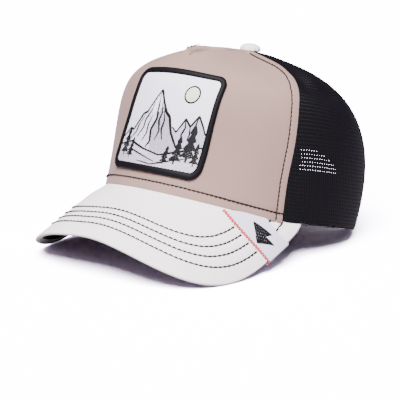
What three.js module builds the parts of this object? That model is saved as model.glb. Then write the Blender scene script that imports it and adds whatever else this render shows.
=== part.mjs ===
// Trucker hat: padded cloth front, net sides and back, curved peak, rear arch with a strap.
// Millimetres, +Z up, peak towards -Y, wearer's left towards +X.
// A turn is an angle round the rim from the centre front, positive towards the wearer's left.
// A rise runs up a panel from 0 at the rim to 1 at the apex, and a depth is measured inwards.
import * as THREE from 'three';

// Rim, seen from above
const rimFront = 101; // from the rim's centre to the centre front
const rimBack = 90;
const rimHalfWidth = 90;
const rimRoundness = 1.96; // exponent of the plan curve, where 2 is an ellipse
const rimCornerEase = 0.79; // how fast the rim leaves the peak's corner
const footTurn = 150; // degrees to the arch's feet, where the rim lies flat

// Peak
const peakRise = 53; // height of the peak's sheet at the centre front of the rim
const peakBend = 95.5; // radius of its bend from side to side
const peakSlope = 20.5; // degrees down towards the front
const peakReach = 58;
const peakHalfWidth = 87;
const peakSquareness = 3; // exponent of the outer edge
const peakCorner = 71.5; // degrees to the peak's rear corners
const peakTopThick = 1.6;
const peakUnderThick = 1.0;
const peakUnderInset = 1.2;

// Crown
const apexHeight = 134.5;
const apexBack = 20; // behind the rim's centre
const crownSections = [
  { turn: 0, lean: 22, wall: 0.91, top: 13, crest: 1.01 },
  { turn: 45, lean: 12, wall: 0.95, top: 1, crest: 0.99 },
  { turn: 90, lean: -4, wall: 0.85, top: 0, crest: 0.8 },
  { turn: 135, lean: -16, wall: 0.78, top: -16, crest: 0.64 },
  { turn: 180, lean: -10, wall: 0.66, top: -15, crest: 0.58 },
];
const frontEdge = [ // side edge of the front panel
  { rise: 0, turn: 60.5 },
  { rise: 0.11, turn: 63.5 },
  { rise: 0.24, turn: 68 },
  { rise: 0.4, turn: 72 },
  { rise: 0.54, turn: 75.5 },
  { rise: 0.66, turn: 76.7 },
  { rise: 0.75, turn: 75 },
  { rise: 0.83, turn: 71.2 },
  { rise: 0.91, turn: 67 },
  { rise: 1, turn: 61 },
];
const backSeamTurn = 122;
const frontThick = 3;
const netThick = 1.2;
const footFade = 0.1; // rise over which a wall's foot goes from lying on the peak to square

// Pinched seam at the top of the front panel
const dartDepth = 2.2;
const dartWidth = 4;
const dartStart = 0.7;
const dartFull = 0.78;
const dartEnd = 0.95;

// Soft fold in each net side
const foldDepth = 3;
const foldWidth = 9;
const foldPath = [
  { turn: 93, rise: 0.8 },
  { turn: 84, rise: 0.67 },
  { turn: 86, rise: 0.56 },
  { turn: 96, rise: 0.52 },
  { turn: 106, rise: 0.52 },
];

// Rear arch, its tape and the strap
const archRadius = 45;
const archCentreHeight = 5;
const tapeThick = 0.8;
const tapeOuterWidth = 10;
const tapeInnerWidth = 8;
const tapeInnerDepth = 1.8;
const strapDepth = 2.9;
const strapThick = 1.2;
const strapHeight = 19;
const strapHalfTurn = 46; // degrees each way from the centre back

// Sweatband
const bandDepth = 4.4;
const bandThick = 1.3;
const bandHeight = 38;
const bandArchGap = 2;

// Button
const buttonRadius = 8;
const buttonHeight = 4.6;
const buttonTilt = 15.5; // degrees towards the back
const stemRadius = 4;
const stemLength = 3;
const apexHole = 5;

// Patch
const patchWidth = 84;
const patchHeight = 76;
const patchCorner = 9;
const patchLowRise = 0.06;
const patchHighRise = 0.575;
const patchLowTurn = 25.8; // degrees from its middle to its side edge, at the bottom
const patchHighTurn = 31.5; // and at the top
const patchLowMiddle = 0.7; // sewn on a little towards the wearer's left
const patchHighMiddle = 2.5;
const patchBorder = 4.6;
const patchFieldThick = 1.2;
const patchBorderThick = 2.2;

// Strip over the wearer's left corner of the peak
const stripThick = 0.8;
const stripWrap = 9; // how far it is turned in under the edge
const stripFrontTurn = 34.4;
const stripRearTurn = 53.2;
const stripFrontEdge = 89.5; // degrees round the peak's outer edge
const stripRearEdge = 93.9;

const gap = 0.3;
const panelRows = 15;

const rad = THREE.MathUtils.degToRad;

// Smooth 0 to 1 between two values
function ease(value, from, to) {
  return THREE.MathUtils.smoothstep(value, from, to);
}

// Even, smooth curve through one column of the crown's table
function sectionCurve(column) {
  const count = crownSections.length;
  const rows = crownSections.map((section) => {
    const row = [];
    for (let k = 0; k < count; k += 1) row.push(Math.cos(k * rad(section.turn)));
    row.push(section[column]);
    return row;
  });
  for (let pivot = 0; pivot < count; pivot += 1) {
    const best = rows.slice(pivot).reduce((a, b) => (Math.abs(b[pivot]) > Math.abs(a[pivot]) ? b : a));
    const place = rows.indexOf(best);
    [rows[pivot], rows[place]] = [rows[place], rows[pivot]];
    for (let other = 0; other < count; other += 1) {
      if (other === pivot) continue;
      const share = rows[other][pivot] / rows[pivot][pivot];
      rows[other] = rows[other].map((value, k) => value - share * rows[pivot][k]);
    }
  }
  const weights = rows.map((row, k) => row[count] / row[k]);
  return (turn) => weights.reduce((sum, weight, k) => sum + weight * Math.cos(k * turn), 0);
}

const leanAt = sectionCurve('lean');
const wallAt = sectionCurve('wall');
const topAt = sectionCurve('top');
const crestAt = sectionCurve('crest');

// Smooth curve through a table's named columns
function tableCurve(table, from, to) {
  return (value) => {
    const last = table.length - 1;
    let k = 0;
    while (k < last - 1 && value > table[k + 1][from]) k += 1;
    const slopeAt = (i) => {
      const low = table[Math.max(i - 1, 0)];
      const high = table[Math.min(i + 1, last)];
      return (high[to] - low[to]) / (high[from] - low[from]);
    };
    const span = table[k + 1][from] - table[k][from];
    const t = THREE.MathUtils.clamp((value - table[k][from]) / span, 0, 1);
    const stay = 2 * t ** 3 - 3 * t ** 2 + 1;
    const leave = (t ** 3 - 2 * t ** 2 + t) * span * slopeAt(k);
    const arrive = (t ** 3 - t ** 2) * span * slopeAt(k + 1);
    return stay * table[k][to] + leave + (1 - stay) * table[k + 1][to] + arrive;
  };
}

const frontEdgeTurn = tableCurve(frontEdge, 'rise', 'turn');

function rimPlan(turn) {
  const side = Math.abs(Math.sin(turn)) / rimHalfWidth;
  const along = Math.abs(Math.cos(turn)) / (Math.cos(turn) > 0 ? rimFront : rimBack);
  const reach = (side ** rimRoundness + along ** rimRoundness) ** (-1 / rimRoundness);
  return { x: reach * Math.sin(turn), y: -reach * Math.cos(turn) };
}

// Height of the peak's sheet above a place in plan
function peakHeight(x, y) {
  const drop = peakBend - Math.sqrt(peakBend ** 2 - x ** 2);
  return peakRise - drop - Math.tan(rad(peakSlope)) * (-y - rimFront);
}

function rimHeight(turn) {
  const corner = rad(peakCorner);
  const size = Math.abs(turn);
  const plan = rimPlan(size);
  if (size <= corner) return peakHeight(plan.x, plan.y);
  const step = 0.001;
  const end = rimPlan(corner);
  const before = rimPlan(corner - step);
  const start = peakHeight(end.x, end.y);
  const fall = ((start - peakHeight(before.x, before.y)) / step) * rimCornerEase;
  const span = rad(footTurn) - corner;
  const t = Math.min((size - corner) / span, 1);
  return (2 * t ** 3 - 3 * t ** 2 + 1) * start + (t ** 3 - 2 * t ** 2 + t) * span * fall;
}

// A meridian is a cubic curve from the rim to the apex: distance from the apex axis, and height
function meridian(turn, rise) {
  const size = Math.abs(turn);
  const plan = rimPlan(size);
  const radius = Math.hypot(plan.x, plan.y - apexBack);
  const foot = rimHeight(size);
  const lean = rad(leanAt(size));
  const wall = wallAt(size) * (apexHeight - foot);
  const top = rad(topAt(size));
  const crest = crestAt(size) * radius;
  const curve = new THREE.CubicBezierCurve(
    new THREE.Vector2(radius, foot),
    new THREE.Vector2(radius - Math.sin(lean) * wall, foot + Math.cos(lean) * wall),
    new THREE.Vector2(Math.cos(top) * crest, apexHeight + Math.sin(top) * crest),
    new THREE.Vector2(0, apexHeight),
  );
  return curve.getPoint(rise);
}

function plainCrownPoint(turn, rise) {
  const plan = rimPlan(turn);
  const radius = Math.hypot(plan.x, plan.y - apexBack);
  const point = meridian(turn, rise);
  return new THREE.Vector3(
    (point.x * plan.x) / radius,
    apexBack + (point.x * (plan.y - apexBack)) / radius,
    point.y,
  );
}

function normalOf(surface, turn, rise) {
  const step = 0.002;
  const high = Math.min(rise + step, 0.995);
  const low = Math.max(high - 2 * step, 0);
  const across = surface(turn + step, rise).sub(surface(turn - step, rise));
  const up = surface(turn, high).sub(surface(turn, low));
  return across.cross(up).normalize();
}

const foldPoints = foldPath.map((row) => plainCrownPoint(rad(row.turn), row.rise));

// How far the cloth dips at a place: the pinched top seam and the soft side folds
function dipAt(turn, rise, point) {
  const along = ease(rise, dartStart, dartFull) * (1 - ease(rise, dartFull, dartEnd));
  const front = Math.abs(turn) < Math.PI / 2 ? 1 : 0;
  const dart = front * dartDepth * along * Math.exp(-((point.x / dartWidth) ** 2));
  const spot = new THREE.Vector3(Math.abs(point.x), point.y, point.z);
  const nearest = new THREE.Vector3();
  let distance = Infinity;
  for (let k = 0; k + 1 < foldPoints.length; k += 1) {
    new THREE.Line3(foldPoints[k], foldPoints[k + 1]).closestPointToPoint(spot, true, nearest);
    distance = Math.min(distance, nearest.distanceTo(spot));
  }
  return dart + foldDepth * Math.exp(-((distance / foldWidth) ** 2));
}

function crownPoint(turn, rise) {
  const point = plainCrownPoint(turn, rise);
  const dip = dipAt(turn, rise, point);
  return point.addScaledVector(normalOf(plainCrownPoint, turn, rise), -dip);
}

// A point at a depth inside the crown. Near the rim it moves level, and stands on the peak.
function crownLayer(turn, rise, depth) {
  const outer = crownPoint(turn, rise);
  const square = outer.clone().addScaledVector(normalOf(crownPoint, turn, rise), -depth);
  const share = ease(rise, 0, footFade);
  if (share === 1) return square;
  const inward = normalOf(crownPoint, turn, rise).setZ(0).normalize();
  const level = outer.clone().addScaledVector(inward, -depth);
  const onPeak = 1 - ease(Math.abs(THREE.MathUtils.radToDeg(turn)), peakCorner, peakCorner + 6);
  level.z += onPeak * (peakHeight(level.x, level.y) - peakHeight(outer.x, outer.y));
  return level.lerp(square, share);
}

// Turn of a line set back from a panel's edge, so that two panels keep a gap
function halfGapTurn(turn, rise) {
  return gap / 2 / Math.max(meridian(turn, rise).x, 1);
}

// Rise at which a meridian comes to a distance from the apex axis
function riseNearApex(turn, distance) {
  let low = 0.5;
  let high = 1;
  for (let k = 0; k < 30; k += 1) {
    const middle = (low + high) / 2;
    if (meridian(turn, middle).x > distance) low = middle;
    else high = middle;
  }
  return (low + high) / 2;
}

// Rise at a length up the meridian, measured from a starting rise
function riseAtLength(turn, start, length) {
  const step = 0.002;
  let rise = start;
  let run = 0;
  while (run < length && rise < 0.99) {
    run += meridian(turn, rise).distanceTo(meridian(turn, rise + step));
    rise += step;
  }
  return rise;
}

// Place on the crown that stands over a point of an arch in the back view
function archPlace(angle, radius) {
  const x = radius * Math.cos(angle);
  const z = archCentreHeight + radius * Math.sin(angle);
  let turn = Math.PI - Math.asin(x / rimHalfWidth);
  let rise = 0;
  for (let pass = 0; pass < 12; pass += 1) {
    let low = 0;
    let high = 0.6;
    for (let k = 0; k < 24; k += 1) {
      rise = (low + high) / 2;
      if (meridian(turn, rise).y < z) low = rise;
      else high = rise;
    }
    turn += (plainCrownPoint(turn, rise).x - x) / rimHalfWidth;
  }
  return { turn, rise: z <= 0 ? 0 : rise };
}

// Angle round the arch, from its wearer's left foot on the floor (share 0) to its right foot (share 1)
function archAngle(share, radius) {
  const foot = -Math.asin(archCentreHeight / radius);
  return foot + share * (Math.PI - 2 * foot);
}

function makeGeometry(points, faces) {
  const volume = faces.reduce((sum, [a, b, c]) => (
    sum + points[a].dot(points[b].clone().cross(points[c]))
  ), 0);
  const outward = volume > 0 ? faces : faces.map(([a, b, c]) => [a, c, b]);
  const geometry = new THREE.BufferGeometry().setFromPoints(points);
  geometry.setIndex(outward.flat());
  geometry.computeVertexNormals();
  return geometry;
}

// Closed wall between two sheets of points, each in rows
function wallBetween(outer, inner) {
  const rows = outer.length;
  const columns = outer[0].length;
  const points = [...outer.flat(), ...inner.flat()];
  const faces = [];
  const at = (sheet, i, j) => (sheet * rows + i) * columns + j;
  const quad = (a, b, c, d) => faces.push([a, b, c], [a, c, d]);
  for (let i = 0; i + 1 < rows; i += 1) {
    for (let j = 0; j + 1 < columns; j += 1) {
      quad(at(0, i, j), at(0, i, j + 1), at(0, i + 1, j + 1), at(0, i + 1, j));
      quad(at(1, i, j), at(1, i + 1, j), at(1, i + 1, j + 1), at(1, i, j + 1));
    }
  }
  for (let j = 0; j + 1 < columns; j += 1) {
    quad(at(0, 0, j), at(1, 0, j), at(1, 0, j + 1), at(0, 0, j + 1));
    quad(at(0, rows - 1, j + 1), at(1, rows - 1, j + 1), at(1, rows - 1, j), at(0, rows - 1, j));
  }
  for (let i = 0; i + 1 < rows; i += 1) {
    quad(at(0, i + 1, 0), at(1, i + 1, 0), at(1, i, 0), at(0, i, 0));
    quad(at(0, i, columns - 1), at(1, i, columns - 1), at(1, i + 1, columns - 1), at(0, i + 1, columns - 1));
  }
  return makeGeometry(points, faces);
}

// Closed ring through sections of points, the last section joined to the first
function ringThrough(sections) {
  const count = sections[0].length;
  const faces = [];
  sections.forEach((section, i) => {
    const next = (i + 1) % sections.length;
    for (let j = 0; j < count; j += 1) {
      const k = (j + 1) % count;
      faces.push([i * count + j, i * count + k, next * count + k]);
      faces.push([i * count + j, next * count + k, next * count + j]);
    }
  });
  return makeGeometry(sections.flat(), faces);
}

// Sheet of points, rows by columns, from a function of two shares
function sheet(rows, columns, place) {
  const points = [];
  for (let i = 0; i <= rows; i += 1) {
    const row = [];
    for (let j = 0; j <= columns; j += 1) row.push(place(i / rows, j / columns));
    points.push(row);
  }
  return points;
}

function crownPanel(rows, columns, thick, place) {
  const layer = (depth) => sheet(rows, columns, (up, across) => {
    const { turn, rise } = place(up, across);
    return crownLayer(turn, rise, depth);
  });
  return wallBetween(layer(0), layer(thick));
}

// Top end of the front panel's side edge
const edgeTopTurn = rad(frontEdge[frontEdge.length - 1].turn);
const edgeTopRise = riseNearApex(edgeTopTurn, apexHole);

function frontPanel() {
  return crownPanel(panelRows, 24, frontThick, (up, across) => {
    const side = 2 * across - 1;
    const top = riseNearApex(side * edgeTopTurn, apexHole);
    const edge = rad(frontEdgeTurn(up * edgeTopRise));
    const turn = side * (edge - halfGapTurn(edge, up * edgeTopRise));
    return { turn, rise: up * THREE.MathUtils.lerp(edgeTopRise, top, 1 - Math.abs(side)) };
  });
}

function netSide(hand) {
  const seam = rad(backSeamTurn);
  return crownPanel(panelRows, 10, netThick, (up, across) => {
    const edge = rad(frontEdgeTurn(up * edgeTopRise));
    const from = edge + halfGapTurn(edge, up * edgeTopRise);
    const rise = up * THREE.MathUtils.lerp(edgeTopRise, riseNearApex(seam, apexHole), across);
    const to = seam - halfGapTurn(seam, rise);
    return { turn: hand * THREE.MathUtils.lerp(from, to, across), rise };
  });
}

// A back net panel: its lower edge runs along the rim to the arch's foot, then over the arch
function netBack(hand) {
  const seam = rad(backSeamTurn);
  const radius = archRadius + tapeThick + 2 * gap;
  const foot = archPlace(archAngle(0, radius), radius);
  const rimShare = 0.3;
  const lowerEdge = (across) => {
    if (across <= rimShare) {
      return { turn: THREE.MathUtils.lerp(seam, foot.turn, across / rimShare), rise: 0 };
    }
    const share = (across - rimShare) / (1 - rimShare);
    return archPlace(archAngle(share / 2, radius), radius);
  };
  return crownPanel(panelRows, 14, netThick, (up, across) => {
    const low = lowerEdge(across);
    const topTurn = THREE.MathUtils.lerp(seam, Math.PI, across);
    const rise = THREE.MathUtils.lerp(low.rise, riseNearApex(topTurn, apexHole), up);
    const middle = THREE.MathUtils.lerp(low.turn, topTurn, up);
    const from = seam + halfGapTurn(seam, rise);
    const to = Math.PI - halfGapTurn(Math.PI, rise);
    return { turn: hand * THREE.MathUtils.clamp(middle, from, to), rise };
  });
}

// A point at a depth under the peak's sheet
function peakLayer(x, y, depth) {
  const slope = new THREE.Vector3(
    x / Math.sqrt(peakBend ** 2 - x ** 2),
    -Math.tan(rad(peakSlope)),
    1,
  ).normalize();
  return new THREE.Vector3(x, y, peakHeight(x, y)).addScaledVector(slope, -depth);
}

// The peak's outer edge in plan: a squarish oval that ends on the rim at the rear corners
const cornerPlan = rimPlan(rad(peakCorner));
const edgeFront = -(rimFront + peakReach);
const cornerShare = (1 - (cornerPlan.x / peakHalfWidth) ** peakSquareness) ** (1 / peakSquareness);
const edgeCentreY = (cornerPlan.y + cornerShare * edgeFront) / (1 + cornerShare);
const edgeDepth = edgeCentreY - edgeFront;
const edgeEnd = Math.PI / 2 + Math.asin(cornerShare ** (peakSquareness / 2));

function peakEdge(angle) {
  const power = 2 / peakSquareness;
  const side = Math.sign(Math.sin(angle)) * Math.abs(Math.sin(angle)) ** power;
  const ahead = Math.sign(Math.cos(angle)) * Math.abs(Math.cos(angle)) ** power;
  return { x: peakHalfWidth * side, y: edgeCentreY - edgeDepth * ahead };
}

// Plan of the peak: from inside the crown's wall to the outer edge, less an inset
function peakPlan(across, out, inset) {
  const side = 2 * across - 1;
  const turn = side * rad(peakCorner);
  const plan = rimPlan(turn);
  const inward = Math.hypot(plan.x, plan.y);
  const back = 1 - (frontThick + gap) / inward;
  const edge = peakEdge(side * edgeEnd);
  const run = Math.hypot(edge.x - plan.x, edge.y - plan.y);
  const reach = Math.max(run - inset, 0.35 * run) / Math.max(run, 1);
  const outer = {
    x: THREE.MathUtils.lerp(plan.x, edge.x, reach),
    y: THREE.MathUtils.lerp(plan.y, edge.y, reach),
  };
  return {
    x: THREE.MathUtils.lerp(plan.x * back, outer.x, out),
    y: THREE.MathUtils.lerp(plan.y * back, outer.y, out),
  };
}

function peakSheet(depth, thick, inset) {
  const layer = (level) => sheet(7, 40, (out, across) => {
    const plan = peakPlan(across, out, inset);
    return peakLayer(plan.x, plan.y, level);
  });
  return wallBetween(layer(depth), layer(depth + thick));
}

const peakTopDepth = gap;
const peakUnderDepth = peakTopDepth + peakTopThick + gap;
const peakLowDepth = peakUnderDepth + peakUnderThick;

// Strip folded over the corner: down the top, round the edge and a little way back underneath
function cornerStrip() {
  const topSteps = 7;
  const allSteps = topSteps + 4;
  const place = (step, across, stand) => {
    const wall = rimPlan(rad(THREE.MathUtils.lerp(stripFrontTurn, stripRearTurn, across)));
    const edge = peakEdge(rad(THREE.MathUtils.lerp(stripFrontEdge, stripRearEdge, across)));
    const run = Math.hypot(edge.x - wall.x, edge.y - wall.y);
    const point = (length, depth) => peakLayer(
      THREE.MathUtils.lerp(wall.x, edge.x, length / run),
      THREE.MathUtils.lerp(wall.y, edge.y, length / run),
      depth,
    );
    if (step <= topSteps) return point(THREE.MathUtils.lerp(2 * gap, run, step / topSteps), -stand);
    const folds = [
      { length: run + gap + stand, depth: peakTopDepth },
      { length: run + gap + stand, depth: peakLowDepth },
      { length: run, depth: peakLowDepth + gap + stand },
      { length: run - stripWrap, depth: peakLowDepth + gap + stand },
    ];
    const fold = folds[step - topSteps - 1];
    return point(fold.length, fold.depth);
  };
  const layer = (stand) => sheet(allSteps, 7, (along, across) => (
    place(Math.round(along * allSteps), across, stand)
  ));
  return wallBetween(layer(stripThick), layer(0));
}

function sweatband() {
  const radius = archRadius + bandArchGap;
  const place = (up, across) => {
    const height = up * bandHeight;
    const angle = Math.asin((height - archCentreHeight) / radius);
    const end = archPlace(angle, radius).turn;
    const turn = (2 * across - 1) * end;
    return { turn, rise: riseAtLength(turn, 0, height) };
  };
  const layer = (depth) => sheet(4, 48, (up, across) => {
    const { turn, rise } = place(up, across);
    return crownLayer(turn, rise, depth);
  });
  return wallBetween(layer(bandDepth), layer(bandDepth + bandThick));
}

// Tape folded over the net's edge: outer leaf, nose and inner leaf
function openingBinding() {
  const outside = [
    { out: tapeOuterWidth, depth: -gap - tapeThick },
    { out: 0, depth: -gap - tapeThick },
    { out: 0, depth: tapeInnerDepth + tapeThick },
    { out: tapeInnerWidth, depth: tapeInnerDepth + tapeThick },
  ];
  const inside = [
    { out: tapeOuterWidth, depth: -gap },
    { out: tapeThick, depth: -gap },
    { out: tapeThick, depth: tapeInnerDepth },
    { out: tapeInnerWidth, depth: tapeInnerDepth },
  ];
  const layer = (profile) => sheet(30, profile.length - 1, (along, fold) => {
    const { out, depth } = profile[Math.round(fold * (profile.length - 1))];
    const radius = archRadius + out;
    const { turn, rise } = archPlace(archAngle(along, radius), radius);
    return crownLayer(turn, rise, depth);
  });
  return wallBetween(layer(outside), layer(inside));
}

function snapStrap() {
  const layer = (depth) => sheet(2, 22, (up, across) => {
    const turn = Math.PI + (2 * across - 1) * rad(strapHalfTurn);
    return crownLayer(turn > Math.PI ? turn - 2 * Math.PI : turn, riseAtLength(turn, 0, up * strapHeight), depth);
  });
  return wallBetween(layer(strapDepth), layer(strapDepth + strapThick));
}

// Domed button with a stem into the hole at the apex
function topButton() {
  const profile = [new THREE.Vector2(0, -stemLength), new THREE.Vector2(stemRadius, -stemLength)];
  profile.push(new THREE.Vector2(stemRadius, 0));
  profile.push(new THREE.Vector2(buttonRadius - 0.6, 0));
  const steps = 5;
  for (let k = 0; k < steps; k += 1) {
    const angle = (k / steps) * (Math.PI / 2);
    profile.push(new THREE.Vector2(
      buttonRadius * Math.cos(angle),
      0.7 + (buttonHeight - 0.7) * Math.sin(angle),
    ));
  }
  profile.push(new THREE.Vector2(0, buttonHeight));
  const geometry = new THREE.LatheGeometry(profile, 24);
  geometry.rotateX(Math.PI / 2);
  return geometry;
}

// Place on the front panel of a patch point, in millimetres across and up from its bottom centre
function patchPlace(across, up) {
  const share = up / patchHeight;
  const high = riseAtLength(0, patchLowRise, patchHeight);
  const stretch = (patchHighRise - patchLowRise) / (high - patchLowRise);
  const rise = patchLowRise + (riseAtLength(0, patchLowRise, up) - patchLowRise) * stretch;
  const side = THREE.MathUtils.lerp(patchLowTurn, patchHighTurn, share);
  const middle = THREE.MathUtils.lerp(patchLowMiddle, patchHighMiddle, share);
  return { turn: rad(middle + (side * across) / (patchWidth / 2)), rise };
}

function patchPoint(across, up, height) {
  const { turn, rise } = patchPlace(across, up);
  return crownLayer(turn, rise, -height);
}

function patchField() {
  const inset = patchBorder + gap;
  const half = patchWidth / 2 - inset;
  const tall = patchHeight / 2 - inset;
  const corner = patchCorner - inset;
  const layer = (height) => sheet(8, 12, (up, across) => {
    const x = (2 * across - 1) * half;
    const past = THREE.MathUtils.clamp(Math.abs(x) - (half - corner), 0, corner);
    const reach = tall - (corner - Math.sqrt(corner ** 2 - past ** 2));
    return patchPoint(x, patchHeight / 2 + (2 * up - 1) * reach, height);
  });
  return wallBetween(layer(gap + patchFieldThick), layer(gap));
}

// Raised border: a low domed section carried round the patch's outline
function patchBorderRing() {
  const section = [[0, gap], [0.4, gap + 1.5], [2, gap + patchBorderThick], [patchBorder - 0.4, gap + 1.8],
    [patchBorder, gap]];
  const outline = new THREE.Shape();
  const halfWidth = patchWidth / 2;
  const halfHeight = patchHeight / 2;
  outline.moveTo(halfWidth, 0);
  outline.absarc(halfWidth - patchCorner, halfHeight - patchCorner, patchCorner, 0, Math.PI / 2);
  outline.absarc(patchCorner - halfWidth, halfHeight - patchCorner, patchCorner, Math.PI / 2, Math.PI);
  outline.absarc(patchCorner - halfWidth, patchCorner - halfHeight, patchCorner, Math.PI, 1.5 * Math.PI);
  outline.absarc(halfWidth - patchCorner, patchCorner - halfHeight, patchCorner, 1.5 * Math.PI, 2 * Math.PI);
  outline.closePath();
  const stations = 56;
  const spots = outline.getSpacedPoints(stations).slice(0, stations);
  const sections = spots.map((spot, i) => {
    const before = spots[(i + stations - 1) % stations];
    const after = spots[(i + 1) % stations];
    const inward = new THREE.Vector2(before.y - after.y, after.x - before.x).normalize();
    return section.map(([inset, height]) => patchPoint(
      spot.x + inward.x * inset,
      patchHeight / 2 + spot.y + inward.y * inset,
      height,
    ));
  });
  return ringThrough(sections);
}

const cloth = { roughness: 0.9, metalness: 0 };
const greigeCloth = new THREE.MeshStandardMaterial({ color: 0xc1afae, ...cloth });
const blackNet = new THREE.MeshStandardMaterial({ color: 0x17141b, ...cloth });
const whiteCloth = new THREE.MeshStandardMaterial({ color: 0xe9e6e6, ...cloth });
const darkCloth = new THREE.MeshStandardMaterial({ color: 0x231a1f, ...cloth });
const greyCloth = new THREE.MeshStandardMaterial({ color: 0xdbd8e0, ...cloth });
const blackTape = new THREE.MeshStandardMaterial({ color: 0x1a171c, ...cloth });
const blackPlastic = new THREE.MeshStandardMaterial({ color: 0x141316, roughness: 0.45, metalness: 0 });
const patchGround = new THREE.MeshStandardMaterial({ color: 0xebe8f4, ...cloth });
const blackThread = new THREE.MeshStandardMaterial({ color: 0x1d1a22, ...cloth });

function addPiece(group, name, geometry, material) {
  const mesh = new THREE.Mesh(geometry, material);
  mesh.name = name;
  group.add(mesh);
  return mesh;
}

const cap = new THREE.Group();
addPiece(cap, 'front_panel', frontPanel(), greigeCloth);
addPiece(cap, 'mesh_side_left', netSide(1), blackNet);
addPiece(cap, 'mesh_side_right', netSide(-1), blackNet);
addPiece(cap, 'mesh_back_left', netBack(1), blackNet);
addPiece(cap, 'mesh_back_right', netBack(-1), blackNet);
addPiece(cap, 'peak_top', peakSheet(peakTopDepth, peakTopThick, 0), whiteCloth);
addPiece(cap, 'peak_underside', peakSheet(peakUnderDepth, peakUnderThick, peakUnderInset), darkCloth);
addPiece(cap, 'peak_corner_strip', cornerStrip(), greyCloth);
addPiece(cap, 'sweatband', sweatband(), blackTape);
addPiece(cap, 'opening_binding', openingBinding(), blackTape);
addPiece(cap, 'snap_strap', snapStrap(), blackPlastic);
addPiece(cap, 'patch_field', patchField(), patchGround);
addPiece(cap, 'patch_border', patchBorderRing(), blackThread);
const button = addPiece(cap, 'top_button', topButton(), whiteCloth);
button.rotation.x = -rad(buttonTilt);
button.position.set(0, apexBack, apexHeight + gap);

// The origin is the middle of the hat's footprint, on the surface that it rests on
const box = new THREE.Box3().setFromObject(cap, true);
const middle = box.getCenter(new THREE.Vector3());
cap.position.set(-middle.x, -middle.y, -box.min.z);

const hat = new THREE.Group();
hat.add(cap);

export default hat;
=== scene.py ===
# Trucker hat: every panel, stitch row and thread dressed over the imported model.
# Surfaces are worked out in millimetres round the rim's centre, as in the part, and
# toFrame turns them into the frame's metres. A turn is an angle round the rim from the
# centre front, a rise runs from the rim (0) to the apex (1), a depth is measured inwards.
import math

import bpy
import numpy as np
from mathutils import Matrix, Vector


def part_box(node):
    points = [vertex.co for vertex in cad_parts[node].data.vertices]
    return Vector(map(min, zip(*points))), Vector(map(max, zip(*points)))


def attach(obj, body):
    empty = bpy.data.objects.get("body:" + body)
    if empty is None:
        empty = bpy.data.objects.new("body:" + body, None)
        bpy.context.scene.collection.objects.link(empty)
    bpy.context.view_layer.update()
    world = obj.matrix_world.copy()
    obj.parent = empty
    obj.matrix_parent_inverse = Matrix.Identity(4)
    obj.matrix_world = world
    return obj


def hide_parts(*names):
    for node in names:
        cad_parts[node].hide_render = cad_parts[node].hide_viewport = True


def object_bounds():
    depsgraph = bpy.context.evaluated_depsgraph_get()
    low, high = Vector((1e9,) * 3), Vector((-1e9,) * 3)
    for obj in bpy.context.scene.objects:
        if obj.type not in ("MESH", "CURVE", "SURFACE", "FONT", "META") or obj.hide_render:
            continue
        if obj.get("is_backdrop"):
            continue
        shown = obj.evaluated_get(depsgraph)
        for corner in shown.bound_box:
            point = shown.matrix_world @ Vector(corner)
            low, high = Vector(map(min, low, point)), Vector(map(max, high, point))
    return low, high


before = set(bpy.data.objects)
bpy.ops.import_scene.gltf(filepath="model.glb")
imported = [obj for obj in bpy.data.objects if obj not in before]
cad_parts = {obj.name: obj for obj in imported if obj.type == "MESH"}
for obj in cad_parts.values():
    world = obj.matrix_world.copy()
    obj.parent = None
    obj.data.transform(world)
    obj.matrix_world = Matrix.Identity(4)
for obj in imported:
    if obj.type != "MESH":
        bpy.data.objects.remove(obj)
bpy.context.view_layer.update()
mm = 0.001
rng = np.random.default_rng(7)

cap = {  # the hat's named sizes, millimetres and degrees
    "rimFront": 101, "rimBack": 90, "rimHalfWidth": 90, "rimRoundness": 1.96,
    "rimCornerEase": 0.79, "footTurn": 150,
    "peakRise": 53, "peakBend": 95.5, "peakSlope": 20.5, "peakReach": 58,
    "peakHalfWidth": 87, "peakSquareness": 3, "peakCorner": 71.5,
    "apexHeight": 134.5, "apexBack": 20, "apexHole": 5, "footFade": 0.1,
    "dartDepth": 2.2, "dartWidth": 4, "dartStart": 0.7, "dartFull": 0.78, "dartEnd": 0.95,
    "foldDepth": 3, "foldWidth": 9, "backSeamTurn": 122, "gap": 0.3,
    "frontThick": 3, "peakTopThick": 1.6, "peakUnderThick": 1.0,
    "archRadius": 45, "archCentreHeight": 5,
}
crownTurns = np.radians([0, 45, 90, 135, 180])
crownSections = {
    "lean": [22, 12, -4, -16, -10], "wall": [0.91, 0.95, 0.85, 0.78, 0.66],
    "top": [13, 1, 0, -16, -15], "crest": [1.01, 0.99, 0.8, 0.64, 0.58],
}
frontEdge = {  # side edge of the front panel
    "rise": [0, 0.11, 0.24, 0.4, 0.54, 0.66, 0.75, 0.83, 0.91, 1],
    "turn": [60.5, 63.5, 68, 72, 75.5, 76.7, 75, 71.2, 67, 61],
}
foldPath = {"turn": [93, 84, 86, 96, 106], "rise": [0.8, 0.67, 0.56, 0.52, 0.52]}


# ---- surfaces of the cap ----

def unit(vectors):
    return vectors / np.maximum(np.linalg.norm(vectors, axis=-1, keepdims=True), 1e-9)


def ease(value, start, end):
    t = np.clip((value - start) / (end - start), 0, 1)
    return t * t * (3 - 2 * t)


def sectionCurve(column):
    orders = np.arange(len(crownTurns))
    weights = np.linalg.solve(np.cos(np.outer(crownTurns, orders)), crownSections[column])
    return lambda turn: np.cos(np.multiply.outer(turn, orders)) @ weights


leanAt, wallAt = sectionCurve("lean"), sectionCurve("wall")
topAt, crestAt = sectionCurve("top"), sectionCurve("crest")


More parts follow.
